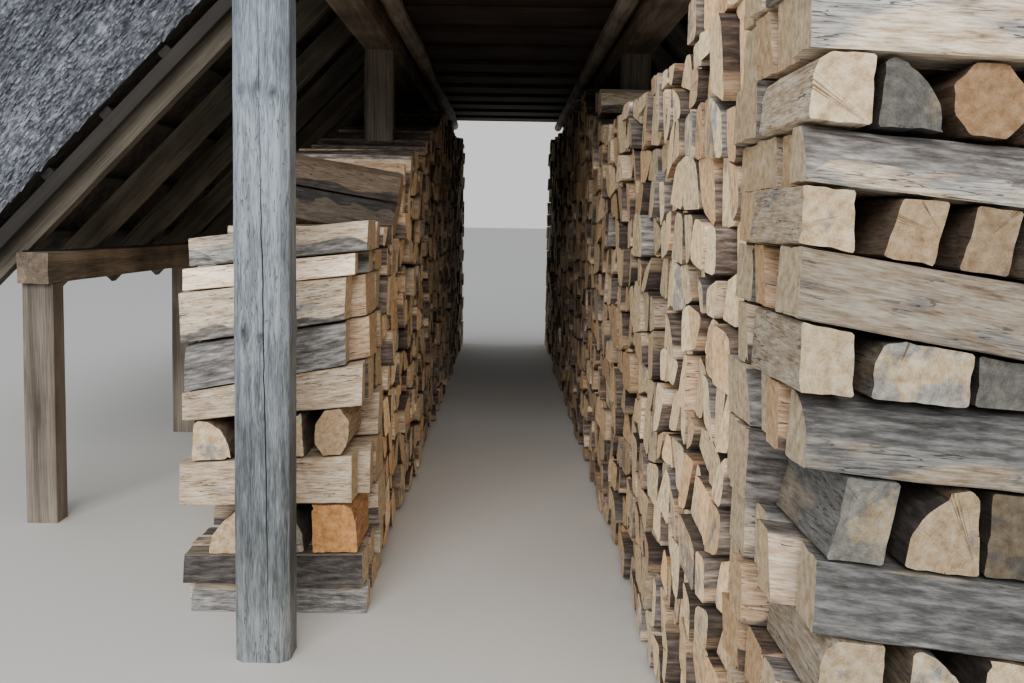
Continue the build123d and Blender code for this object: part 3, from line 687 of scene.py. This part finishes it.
# Across, up, how grey, how light, how warm, bark. How light holds painted light and shade on top of each
# log's own tone.
right_seen = [
    (0.609, 1.313, 0.62, 1.05, 0.0, no_bark),
    (0.395, 1.240, 0.2, 0.9, 0.05, no_bark), (0.491, 1.232, 0.9, 0.26, 0.0, outward),
    (0.589, 1.220, 0.1, 0.4, 0.55, no_bark),
    (0.609, 1.141, 0.42, 0.88, 0.0, (-0.2, 1, 0.55)),
    (0.391, 1.074, 0.42, 0.76, 0.1, no_bark), (0.502, 1.061, 0.15, 0.5, 0.25, no_bark),
    (0.596, 1.049, 0.2, 0.37, 0.25, no_bark),
    (0.609, 0.958, 0.58, 0.4, 0.0, no_bark),
    (0.397, 0.899, 0.25, 0.66, 0.0, no_bark), (0.504, 0.892, 0.65, 0.66, 0.0, no_bark),
    (0.632, 0.870, 0.95, 0.27, 0.0, no_bark),
    (0.609, 0.801, 0.75, 0.43, 0.0, (-0.15, 1, 0.4)),
    (0.452, 0.699, 0.85, 0.4, 0.0, no_bark), (0.555, 0.695, 0.3, 0.49, 0.15, inward),
    # This log lies in shadow: its low lightness is painted shade.
    (0.657, 0.677, 0.5, 0.16, 0.1, no_bark),
    (0.609, 0.574, 0.9, 0.4, 0.0, front),
    (0.435, 0.509, 0.35, 0.55, 0.0, no_bark), (0.555, 0.494, 0.6, 0.7, 0.0, no_bark),
]
left_seen = [
    # The second log's lightness of 1.95 is partly painted light.
    (-0.6, 1.000, 0.55, 0.95, 0.0, (-0.2, -1, 0.4)), (-0.6, 0.926, 0.05, 1.95, 0.0, no_bark),
    (-0.6, 0.828, 0.3, 1.05, 0.0, (0, -1, 0.25)), (-0.6, 0.713, 0.7, 0.92, 0.0, (-1, 0, 0.6)),
    (-0.6, 0.595, 0.1, 0.88, 0.05, no_bark),
    (-0.457, 0.498, 0.15, 0.62, 0.25, no_bark),
    (-0.6, 0.360, 0.1, 0.95, 0.1, no_bark),
    (-0.439, 0.247, 0.0, 0.88, 0.85, inward), (-0.717, 0.237, 0.1, 0.8, 0.1, no_bark),
    (-0.6, 0.119, 0.3, 0.38, 0.0, front), (-0.6, 0.043, 0.8, 0.92, 0.0, front),
]
split_logs("right_pillar_logs", "right_near_pillar", 41, 0.013, 0.024, right_seen)
split_logs("left_pillar_logs", "left_near_pillar", 52, 0.013, 0.024, left_seen)
split_logs("right_far_logs", "right_far_pillar", 63, 0.03, 0.07)
split_logs("left_far_logs", "left_far_pillar", 74, 0.03, 0.07)

# Loose logs on the stacks
# A few logs lie across the tops; the two on the left lean inwards on a thin prop.
loose_seen = [(-0.6, 1.224, 0.15, 0.22, 0.3, (0, -1, 0.3)), (-0.6, 1.111, 0.3, 0.15, 0.15, (0.2, 1, 0.5))]
split_logs("left_loose_logs", "left_top_logs", 85, 0.012, 0.025, loose_seen)
split_logs("right_loose_logs", "right_top_logs", 96, 0.015, 0.04)

# Firewood: the stacks
# Between the pillars the logs all lie across, ten to eighteen courses high, and their sawn ends make
# the walls of the passage. Neighbours share slanting seams, as split logs settle.


def cut_end(corners, bark_side, pick):
    """Outline of one log in the stack: corners drawn in from its neighbours, round on its bark side.

    Returns the points and, for each, whether bark covers it.
    """
    gap, corner_gap, along_bark, corner_share = 0.0035, 1.4, 0.22, 0.45
    middle = sum(corners, Vector((0, 0))) / len(corners)
    drawn = [c + (middle - c).normalized() * gap * corner_gap for c in corners]
    points = []
    count = len(drawn)
    for i, corner in enumerate(drawn):
        before = drawn[i - 1]
        after = drawn[(i + 1) % count]
        starts_bark = i == bark_side
        if starts_bark or i == (bark_side + 1) % count:
            off_bark, on_bark = (before, after) if starts_bark else (after, before)
            pull = corner.lerp(off_bark, pick.uniform(0.25, 0.42))
            towards = corner.lerp(on_bark, along_bark)
            bulge = pull.lerp(towards, 0.5) * (1 - corner_share) + corner * corner_share
            arc = [(pull, True), (bulge, True), (towards, True)]
            points += arc + [(corner.lerp(after, 0.5), True)] if starts_bark else arc[::-1]
        else:
            nip = pick.uniform(0.03, 0.08)
            points += [(corner.lerp(before, nip), False), (corner.lerp(after, nip), False)]
    return points


def stack_face(name, pick, near, far, top_at, course_height, lightness, foot_at=lambda y: 0.006):
    """The pattern of cut ends of one bay, as flat faces in the passage's wall, one for each log."""
    narrowest, widest, thinnest, least_height, lean = 0.07, 0.165, 0.014, 0.045, 0.04
    seam_waves = ((0.018, 6.1, 0), (0.011, 17, 7), (0.008, 43, 13))
    verts, faces, bark, hearts, numbers, looks = [], [], [], [], [], []
    phase = [pick.uniform(0, 6.28) for _ in range(40)]

    def line(k, y):
        """Height of the k-th seam between courses."""
        if k == 0:
            return foot_at(y)
        sway = sum(size * math.sin(y * pace + phase[(k + shift) % len(phase)])
                   for size, pace, shift in seam_waves)
        return foot_at(y) + k * course_height + sway

    highest = max(top_at(near + (far - near) * i / 60) for i in range(61))
    for k in range(int(highest / course_height) + 1):
        y = near
        bounds = [(near, near)]
        while y < far - narrowest:
            y = min(y + pick.uniform(narrowest, widest), far)
            if far - y < 0.05:
                y = far
            slant = pick.uniform(-lean, lean) if y < far else 0.0
            bounds.append((y + slant, y - slant))
        for (b0, t0), (b1, t1) in zip(bounds, bounds[1:]):
            if b1 - b0 < thinnest:
                b0, b1 = (b0 + b1 - thinnest) / 2, (b0 + b1 + thinnest) / 2
            if t1 - t0 < thinnest:
                t0, t1 = (t0 + t1 - thinnest) / 2, (t0 + t1 + thinnest) / 2
            mid = (b0 + b1 + t0 + t1) / 4
            roof = top_at(mid)
            low = (line(k, b0), line(k, b1))
            high = (line(k + 1, t0), line(k + 1, t1))
            if min(low) > roof - least_height:
                continue
            if max(high) > roof - 0.04:
                high = (roof - pick.uniform(0, 0.012), roof - pick.uniform(0, 0.012))
            corners = [Vector(corner) for corner in
                       ((b0, low[0]), (b1, low[1]), (t1, high[1]), (t0, high[0]))]
            bark_side = pick.choice([0, 1, 2, 2, 3])
            outline = cut_end(corners, bark_side, pick)
            # The last value darkens the log's sides: painted shade of the gaps, together with old bark.
            look = (min(1.0, max(0.0, pick.gauss(0.12, 0.25))), lightness * pick.uniform(0.85, 1.5),
                    0.45 * pick.random() ** 2, pick.uniform(0.1, 1.0))
            start = len(verts)
            side = (corners[bark_side] + corners[(bark_side + 1) % 4]) / 2
            far_side = (corners[(bark_side + 2) % 4] + corners[(bark_side + 3) % 4]) / 2
            heart = far_side + (far_side - side) * pick.uniform(0.0, 0.3)
            for point, on_bark in outline:
                verts.append((0, point.x, point.y))
                bark.append(1.0 if on_bark else 0.0)
                hearts.append((0.0, point.x - heart.x, point.y - heart.y))
                looks.append(look)
                numbers.append(len(faces) + 1)
            faces.append(list(range(start, len(verts))))
    mesh = bpy.data.meshes.new(name)
    mesh.from_pydata(verts, [], faces)
    for key, values in zip(("bark", "log_number", "greyed", "tone", "warm", "aged_and_shaded_sides", "from_heart"),
                           (bark, numbers, *zip(*looks), hearts)):
        store(mesh, key, values)
    return mesh


def new_tree(name, material, **sizes):
    """An empty Geometry Nodes tree with a mesh, named sizes, a seed and a material as its inputs."""
    tree = bpy.data.node_groups.new(name, "GeometryNodeTree")
    sockets = [("Geometry", "Geometry", None), (material, "Material", None), ("Seed", "Int", 1)]
    sockets += [(label.replace("_", " "), "Vector" if isinstance(size, tuple) else "Float", size)
                for label, size in sizes.items()]
    for label, kind, default in sockets:
        socket = tree.interface.new_socket(label, in_out="INPUT", socket_type=f"NodeSocket{kind}")
        if default is not None:
            socket.default_value = default
    tree.interface.new_socket("Geometry", in_out="OUTPUT", socket_type="NodeSocketGeometry")
    return tree, put(tree, "NodeGroupInput").outputs


def logs_from_ends():
    """Geometry Nodes: draws each cut end out into a log, in two steps that bend and taper it."""
    tree, given = new_tree("logs from cut ends", "Wood", Log_length=0.5, Direction=1.0, End_spread=0.02,
                           Bend=0.006, End_slant=0.07)
    number = put(tree, "GeometryNodeInputNamedAttribute", {"Name": "log_number"}, data_type="INT")

    def chance(low, high, salt, size):
        """A random number for each log, times the size."""
        seed = put(tree, "ShaderNodeMath", {0: given["Seed"], 1: float(salt)}, operation="ADD")
        drawn = put(tree, "FunctionNodeRandomValue", {"Min": low, "Max": high, "ID": number, "Seed": seed},
                    data_type="FLOAT")
        return put(tree, "ShaderNodeMath", {0: drawn, 1: size}, operation="MULTIPLY")

    # The near ends: each stands out a little, and is not quite square to its log
    heart = put(tree, "GeometryNodeInputNamedAttribute", {"Name": "from_heart"}, data_type="FLOAT_VECTOR")
    parts = put(tree, "ShaderNodeSeparateXYZ", {"Vector": heart}).outputs
    slant_y = put(tree, "ShaderNodeMath", {0: parts["Y"], 1: chance(-1.0, 1.0, 1, given["End slant"])},
                  operation="MULTIPLY")
    slant_z = put(tree, "ShaderNodeMath", {0: parts["Z"], 1: chance(-1.0, 1.0, 2, given["End slant"])},
                  operation="MULTIPLY")
    slant = put(tree, "ShaderNodeMath", {0: slant_y, 1: slant_z}, operation="ADD")
    out = put(tree, "ShaderNodeMath", {0: chance(0.0, 1.0, 3, given["End spread"]), 1: given["Direction"],
                                       2: slant}, operation="MULTIPLY_ADD")
    shift = put(tree, "ShaderNodeCombineXYZ", {"X": out})
    near_end = put(tree, "GeometryNodeSetPosition", {"Geometry": given["Geometry"], "Offset": shift})

    # Two halves, the second bent against the first, and the far end larger or smaller than the near one
    half = put(tree, "ShaderNodeMath", {0: given["Log length"], 1: given["Direction"]}, operation="MULTIPLY")
    half = put(tree, "ShaderNodeMath", {0: half, 1: 0.5}, operation="MULTIPLY")
    half = chance(0.955, 0.99, 4, half)
    grown, selected = near_end, {}
    for salt in (5, 7):
        reach = put(tree, "ShaderNodeCombineXYZ", {"X": half, "Y": chance(-1.0, 1.0, salt, given["Bend"]),
                                                   "Z": chance(-0.6, 0.6, salt + 1, given["Bend"])})
        grown = put(tree, "GeometryNodeExtrudeMesh",
                    {"Mesh": grown, "Offset Scale": 1.0, "Individual": True, "Offset": reach, **selected})
        selected = {"Selection": grown.outputs["Top"]}
    tapered = put(tree, "GeometryNodeScaleElements",
                  {"Geometry": grown, "Scale": chance(0.86, 1.02, 9, 1.0), **selected})
    drawn = put(tree, "GeometryNodeStoreNamedAttribute",
                {"Geometry": tapered, "Name": "sawn", "Value": 1.0, **selected}, data_type="FLOAT",
                domain="FACE")
    back = put(tree, "GeometryNodeFlipFaces", {"Mesh": near_end})
    back_end = put(tree, "GeometryNodeStoreNamedAttribute", {"Geometry": back, "Name": "sawn", "Value": 1.0},
                   data_type="FLOAT", domain="FACE")
    joined = put(tree, "GeometryNodeJoinGeometry")
    tree.links.new(back_end.outputs[0], joined.inputs[0])
    tree.links.new(drawn.outputs[0], joined.inputs[0])
    merged = put(tree, "GeometryNodeMergeByDistance", {"Geometry": joined, "Distance": 0.00005})

    # The grain runs along the log, so the place along it goes with the place round the heart
    position = put(tree, "GeometryNodeInputPosition")
    along = put(tree, "ShaderNodeSeparateXYZ", {"Vector": position}).outputs["X"]
    in_log = put(tree, "ShaderNodeCombineXYZ", {"X": along, "Y": parts["Y"], "Z": parts["Z"]})
    placed = put(tree, "GeometryNodeStoreNamedAttribute",
                 {"Geometry": merged, "Name": "from_heart", "Value": in_log}, data_type="FLOAT_VECTOR",
                 domain="POINT")
    real = put(tree, "GeometryNodeRealizeInstances", {"Geometry": placed})
    wood = put(tree, "GeometryNodeSetMaterial", {"Geometry": real, "Material": given["Wood"]})
    put(tree, "NodeGroupOutput", {0: wood})
    return tree


log_tree = logs_from_ends()


def grow(name, mesh, tree, values):
    """Runs a node tree on a mesh and returns the result as a plain object at the origin."""
    base = bpy.data.objects.new(name + " base", mesh)
    bpy.context.collection.objects.link(base)
    modifier = base.modifiers.new("grow", "NODES")
    modifier.node_group = tree
    for item in tree.interface.items_tree:
        if item.in_out == "INPUT" and item.name in values:
            modifier[item.identifier] = values[item.name]
    depsgraph = bpy.context.evaluated_depsgraph_get()
    result = bpy.data.meshes.new_from_object(base.evaluated_get(depsgraph), depsgraph=depsgraph)
    bpy.data.objects.remove(base)
    result.name = name
    piece = bpy.data.objects.new(name, result)
    bpy.context.collection.objects.link(piece)
    return piece


def top_of(node_name):
    """The stepped top of a stack bay, as a function of the place along the passage."""
    tops = {}
    for vertex in nodes[node_name].data.vertices:
        if vertex.co.z > 0.3:
            tops.setdefault(round(vertex.co.y, 4), []).append(vertex.co.z)
    marks = sorted(tops)

    def height(y):
        below = max([m for m in marks if m <= y + 1e-4], default=marks[0])
        above = min([m for m in marks if m > y + 1e-4], default=marks[-1])
        shared = [z for z in tops[below] if any(abs(z - other) < 1e-4 for other in tops[above])]
        return min(shared) if shared else min(tops[below] + tops[above])
    return height


# Each bay is a little darker than the one nearer the front
course_height = 0.098
bay_lightness = {"right": (1.45, 1.1, 0.75, 0.65), "left": (1.35, 1.1, 0.7)}
for side, direction in (("right", 1.0), ("left", -1.0)):
    for bay, lightness in enumerate(bay_lightness[side], start=1):
        node_name = f"{side}_stack_bay_{bay}"
        low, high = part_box(node_name)
        inner = low[0] if side == "right" else high[0]
        pick = random.Random(f"{side} {bay}")
        flat = stack_face(node_name + " ends", pick, low[1] + 0.001, high[1] - 0.001, top_of(node_name),
                          course_height, lightness)
        flat.transform(Matrix.Translation((inner, 0, 0)))
        if side == "left":
            flat.flip_normals()
        logs = grow(f"{side}_stacked_logs_{bay}", flat, log_tree,
                    {"Log length": 0.498, "Direction": direction, "End spread": 0.034, "Bend": 0.006,
                     "End slant": 0.07, "Seed": 10 * bay + (1 if side == "left" else 5), "Wood": firewood})
        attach(logs, "root")
        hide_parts(node_name)

# Firewood: one more course
# A single course of the same logs lies on the near part of the right stack, behind its pillar.
top_course_length, top_course_height = 0.6, 0.1
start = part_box("right_stack_bay_1")[0]
stack_top = top_of("right_stack_bay_1")
flat = stack_face("right top course ends", random.Random("top course"), start[1] + 0.01,
                  start[1] + top_course_length, lambda y: stack_top(y) + top_course_height,
                  top_course_height, bay_lightness["right"][0], lambda y: stack_top(y) - 0.003)
flat.transform(Matrix.Translation((start[0] + 0.01, 0, 0)))
logs = grow("right_top_course", flat, log_tree,
            {"Log length": 0.49, "Direction": 1.0, "End spread": 0.03, "Bend": 0.004, "End slant": 0.07,
             "Seed": 3, "Wood": firewood})
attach(logs, "root")

# Rafters, battens and ceiling poles
# Sawn rafters notched over the plates, with thin battens across them that the reed is tied to. A
# crooked barked pole, paler than the sawn timber, lies beside each plate. All edges are a little worn.
roof_pitch = math.radians(46)


def worn_copy(name, node_names, material, worn, uneven, cuts):
    """The construction's own solids, of any shape: cut into lengths, edges worn, faces uneven.

    Each of the cuts is a way to go, where to start and to end, and how far apart the cuts lie.
    """
    shape = bmesh.new()
    for node_name in node_names:
        shape.from_mesh(nodes[node_name].data)
    bmesh.ops.remove_doubles(shape, verts=shape.verts, dist=1e-5)
    bmesh.ops.dissolve_limit(shape, angle_limit=math.radians(1), verts=shape.verts, edges=shape.edges)
    sharp = [e for e in shape.edges if e.is_manifold and e.calc_face_angle() > math.radians(25)]
    bmesh.ops.bevel(shape, geom=sharp, offset=worn, segments=2, profile=0.6, affect="EDGES",
                    clamp_overlap=True)
    for normal, start, end, step in cuts:
        for n in range(1, int((end - start) / step)):
            bmesh.ops.bisect_plane(shape, geom=shape.verts[:] + shape.edges[:] + shape.faces[:],
                                   plane_co=Vector(normal) * (start + n * step), plane_no=normal, dist=1e-5)
    shape.normal_update()
    boxes = [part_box(node_name) for node_name in node_names]
    low = np.min([box[0] for box in boxes], axis=0)
    high = np.max([box[1] for box in boxes], axis=0)
    for vertex in shape.verts:
        place = vertex.co
        swell = 0.5 + 0.5 * noise.noise(place * 3.0)
        fleck = 0.5 + 0.5 * noise.noise(place * 22.0)
        vertex.co = np.clip(place - vertex.normal * uneven * (0.6 * swell + 0.4 * fleck), low, high)
    mesh = bpy.data.meshes.new(name)
    shape.to_mesh(mesh)
    shape.free()
    mesh.materials.append(material)
    made = bpy.data.objects.new(name, mesh)
    bpy.context.collection.objects.link(made)
    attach(made, "root")
    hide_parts(*node_names)
    return made


low_y, high_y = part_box("right_battens")[0][1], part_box("right_battens")[1][1]
verge_rafter_room = 0.045
for side, sign in (("right", 1), ("left", -1)):
    turned = (0, -sign * roof_pitch, 0)
    rafter_wood = timber(f"grey brown sawn rafter, {side} slope", "#302B23", "#564E42", "#766E61", 0,
                         turn=turned)
    # The end rafters get a far darker copy of the rafter colour: painted shade.
    shaded_verge_wood = timber(f"verge rafter in painted shade, {side} slope", "#100D0B", "#1E1A16", "#302A23", 0,
                        turn=turned)
    down_slope = (sign * math.cos(roof_pitch), 0, -math.sin(roof_pitch))
    made = worn_copy(f"{side}_rafter_set", [f"{side}_rafters"], rafter_wood, 0.006, 0.004,
                     [(down_slope, -2.5, 1.5, 0.12)])
    made.data.materials.append(shaded_verge_wood)
    first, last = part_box(f"{side}_rafters")[0][1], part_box(f"{side}_rafters")[1][1]
    for polygon in made.data.polygons:
        if not first + verge_rafter_room < polygon.center.y < last - verge_rafter_room:
            polygon.material_index = 1
# The battens are painted near black: painted shade under the reed.
shaded_batten_wood = timber("sawn batten in painted shade", "#0F0C0A", "#1C1814", "#2B251F", 1)
hewn("roof_battens", ["left_battens", "right_battens"], shaded_batten_wood, 0.03, 0.15, 0.003)
pole_wood = timber("barked softwood pole", "#5A5044", "#94887A", "#BCB1A1", 1)
worn_copy("crooked_poles", ["left_ceiling_pole", "right_ceiling_pole"], pole_wood, 0.004,
          0.004, [((0, 1, 0), low_y - 1.5, high_y + 1.5, 0.12)])

# Thatch
# Water reed in thick coats, tied to the battens with the cut ends outwards. Rain and lichen have
# turned it blue grey. The eave and the verges are cut square, so there the stems show end on.


def reed_material(name, turn, dark, middle, light, inside=None):
    """Weathered reed: short stems 8 mm wide lying down the slope, in uneven grey patches.

    Where neither rain nor light reaches it, on the inside, the reed has kept a dark brown.
    """
    material, tree, shader = new_material(name)
    stems, tufts, patches = (
        put(tree, "ShaderNodeTexNoise", {"Vector": object_place(tree, scale, turn), "Scale": 1.0,
                                         "Detail": detail, "Roughness": roughness})
        for scale, detail, roughness in (((28, 110, 110), 4.0, 0.75), ((22, 30, 30), 4.0, 0.6),
                                         ((0.9, 4, 4), 5.0, 0.6)))
    fine = put(tree, "ShaderNodeMix", {"Factor": 0.45, 2: stems, 3: tufts}, data_type="FLOAT")
    level = put(tree, "ShaderNodeMix", {"Factor": 0.2, 2: fine, 3: patches}, data_type="FLOAT")
    colour = put(tree, "ShaderNodeValToRGB", {"Fac": level},
                 stops=((0.38, dark), (0.5, middle), (0.62, light)))
    if inside:
        top, verge = (put(tree, "ShaderNodeAttribute", attribute_name=key).outputs["Fac"]
                      for key in ("coat", "sawn"))
        outside = put(tree, "ShaderNodeMath", {0: top, 1: verge}, operation="MAXIMUM")
        brown = put(tree, "ShaderNodeMix", {"Factor": 1.0, 6: colour, 7: linear(inside)}, data_type="RGBA",
                    blend_type="MULTIPLY")
        colour = put(tree, "ShaderNodeMix", {"Factor": outside, 6: brown, 7: colour}, data_type="RGBA")
    shader.inputs["Roughness"].default_value = 0.95
    bump = put(tree, "ShaderNodeBump", {"Height": fine, "Distance": 0.02, "Strength": 0.9})
    finish(tree, shader, colour, bump)
    return material


def stubble_tree():
    """Geometry Nodes: short stems scattered over a coat of reed, down the slope with their ends free."""
    tree, given = new_tree("reed stubble", "Reed", Down_the_slope=(0.0, 0.0, -1.0), Stems_on_the_slope=600.0,
                           Stems_on_the_verges=4000.0, Stem_length=0.045, Stem_radius=0.0042, Stand=0.45,
                           Spread=0.15, Widest=2.2, Highest=3.5)
    coat, verge = (put(tree, "GeometryNodeInputNamedAttribute", {"Name": key}, data_type="FLOAT").outputs[0]
                   for key in ("coat", "sawn"))
    on_slope = put(tree, "ShaderNodeMath", {0: coat, 1: given["Stems on the slope"]}, operation="MULTIPLY")
    density = put(tree, "ShaderNodeMix", {"Factor": verge, 2: on_slope, 3: given["Stems on the verges"]},
                  data_type="FLOAT")
    points = put(tree, "GeometryNodeDistributePointsOnFaces",
                 {"Mesh": given["Geometry"], "Density": density, "Seed": given["Seed"]}).outputs

    # Each stem lies down the slope, stands up a little from it and strays to all sides
    stand = put(tree, "ShaderNodeVectorMath", {0: points["Normal"], "Scale": given["Stand"]},
                operation="SCALE")
    lie = put(tree, "ShaderNodeVectorMath", {0: given["Down the slope"], 1: stand}, operation="ADD")
    most = put(tree, "ShaderNodeCombineXYZ", {axis: given["Spread"] for axis in "XYZ"})
    least = put(tree, "ShaderNodeVectorMath", {0: most, "Scale": -1.0}, operation="SCALE")
    stray = put(tree, "FunctionNodeRandomValue", {0: least, 1: most, "Seed": given["Seed"]},
                data_type="FLOAT_VECTOR")
    way = put(tree, "ShaderNodeVectorMath", {0: lie, 1: stray}, operation="ADD")
    turn = put(tree, "FunctionNodeAlignRotationToVector", {"Vector": way}, axis="Z")

    # No stem grows where it would stand out past the roof's own width and height
    place = put(tree, "ShaderNodeSeparateXYZ", {"Vector": put(tree, "GeometryNodeInputPosition")}).outputs
    wide = put(tree, "ShaderNodeMath", {0: place["X"]}, operation="ABSOLUTE")
    too_wide = put(tree, "ShaderNodeMath", {0: wide, 1: given["Widest"]}, operation="GREATER_THAN")
    too_high = put(tree, "ShaderNodeMath", {0: place["Z"], 1: given["Highest"]}, operation="GREATER_THAN")
    outside = put(tree, "ShaderNodeMath", {0: too_wide, 1: too_high}, operation="MAXIMUM")
    kept = put(tree, "GeometryNodeDeleteGeometry", {"Geometry": points["Points"], "Selection": outside},
               domain="POINT")
    stem = put(tree, "GeometryNodeMeshCone",
               {"Vertices": 3, "Side Segments": 1, "Fill Segments": 1, "Radius Top": given["Stem radius"],
                "Radius Bottom": 0.0, "Depth": given["Stem length"]})
    size = put(tree, "FunctionNodeRandomValue", {2: 0.6, 3: 1.15, "Seed": given["Seed"]}, data_type="FLOAT")
    placed = put(tree, "GeometryNodeInstanceOnPoints", {"Points": kept, "Instance": stem, "Rotation": turn,
                                                        "Scale": size})
    real = put(tree, "GeometryNodeRealizeInstances", {"Geometry": placed})
    finished = put(tree, "GeometryNodeSetMaterial", {"Geometry": real, "Material": given["Reed"]})
    put(tree, "NodeGroupOutput", {0: finished})
    return tree


stubble = stubble_tree()
ridge_cover = 0.33            # half the width of the reed that the ridge hides
slope_inset, eave_inset = 0.016, 0.062
swell_depth, tuft_depth = 0.012, 0.006
for side, sign in (("right", 1), ("left", -1)):
    reed = reed_material(f"weathered water reed, {side} slope", (0, -sign * roof_pitch, 0), "#33343A",
                         "#72767F", "#BABECA", inside="#80705C")
    down_slope = np.array([sign * math.cos(roof_pitch), 0, -math.sin(roof_pitch)])
    off_roof = np.array([sign * math.sin(roof_pitch), 0, math.cos(roof_pitch)])
    cuts = bar_sections(solids_of(f"{side}_thatch")[0], 0.038, 0.043, worn=0.012)
    rings, coats = [], []
    last = len(cuts["centres"]) - 1
    for j in range(last + 1):
        ring, coat = [], []
        for i, point in enumerate(cuts["points"][j]):
            covered = abs(point[0]) < ridge_cover
            outwards = cuts["across"][j] * cuts["normals"][i][0] + cuts["up"][j] * cuts["normals"][i][1]
            on_top, on_eave = outwards @ off_roof > 0.6, outwards @ down_slope > 0.3
            place = Vector(point)
            swell = 0.5 + 0.5 * noise.noise(place * 1.6)
            tuft = 0.5 + 0.5 * noise.noise(place * 14)
            fleck = 0.5 + 0.5 * noise.noise(place * 45)
            inset = 0.002 + tuft_depth * (tuft + fleck)
            if on_top or on_eave:
                inset += swell_depth * swell + (eave_inset if on_eave else slope_inset)
            if outwards[0] * sign < -0.9:
                inset = 0.0
            ring.append(point - outwards * inset + np.array([0, {0: 0.008, last: -0.008}.get(j, 0.0), 0]))
            coat.append(float((on_top or on_eave) and not covered))
        rings.append(ring)
        coats.append(coat)
    carving = Carving()
    carving.bar(np.array(rings), {"coat": coats})
    thatch = carving.piece(f"{side}_reed_coat", reed)
    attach(thatch, "root")
    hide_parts(f"{side}_thatch")
    stems = grow(f"{side}_reed_stubble", thatch.data.copy(), stubble,
                 {"Down the slope": tuple(down_slope), "Stems on the slope": 850.0,
                  "Stems on the verges": 6000.0, "Stem length": 0.045, "Stem radius": 0.0042,
                  "Stand": 0.45, "Spread": 0.15,
                  "Widest": cad_box[1][0] - 0.055, "Highest": cad_box[1][2] - 0.06,
                  "Seed": 5 if sign > 0 else 6, "Reed": reed})
    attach(stems, "root")

# Ridge
# A saddle of bent reed bundles covers the joint of the two slopes and stands out a little over them.
low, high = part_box("ridge_roll")
ridge_reed = reed_material("weathered ridge reed", (0, 0, 0), "#3E3D43", "#74757B", "#A9ABB2")
crown_room, foot_room = 0.05, 0.09
saddle = worn_copy("ridge_saddle", ["ridge_roll"], ridge_reed, 0.03, 0.02,
                   [((0, 1, 0), low[1], high[1], 0.06), ((1, 0, 0), low[0], high[0], 0.06)])
for side, sign in (("right", 1), ("left", -1)):
    half = saddle.data.copy()
    on_this_side = [float(v.co.x * sign > crown_room and v.co.z > low[2] + foot_room) for v in half.vertices]
    store(half, "coat", on_this_side)
    stems = grow(f"{side}_ridge_stubble", half, stubble,
                 {"Down the slope": (sign * math.cos(roof_pitch), 0, -math.sin(roof_pitch)),
                  "Stems on the slope": 950.0, "Stem length": 0.055, "Stem radius": 0.0042,
                  "Stand": 0.25, "Spread": 0.12, "Widest": high[0] + 0.5, "Highest": high[2] - 0.03,
                  "Seed": 7 if sign > 0 else 8, "Reed": ridge_reed})
    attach(stems, "root")
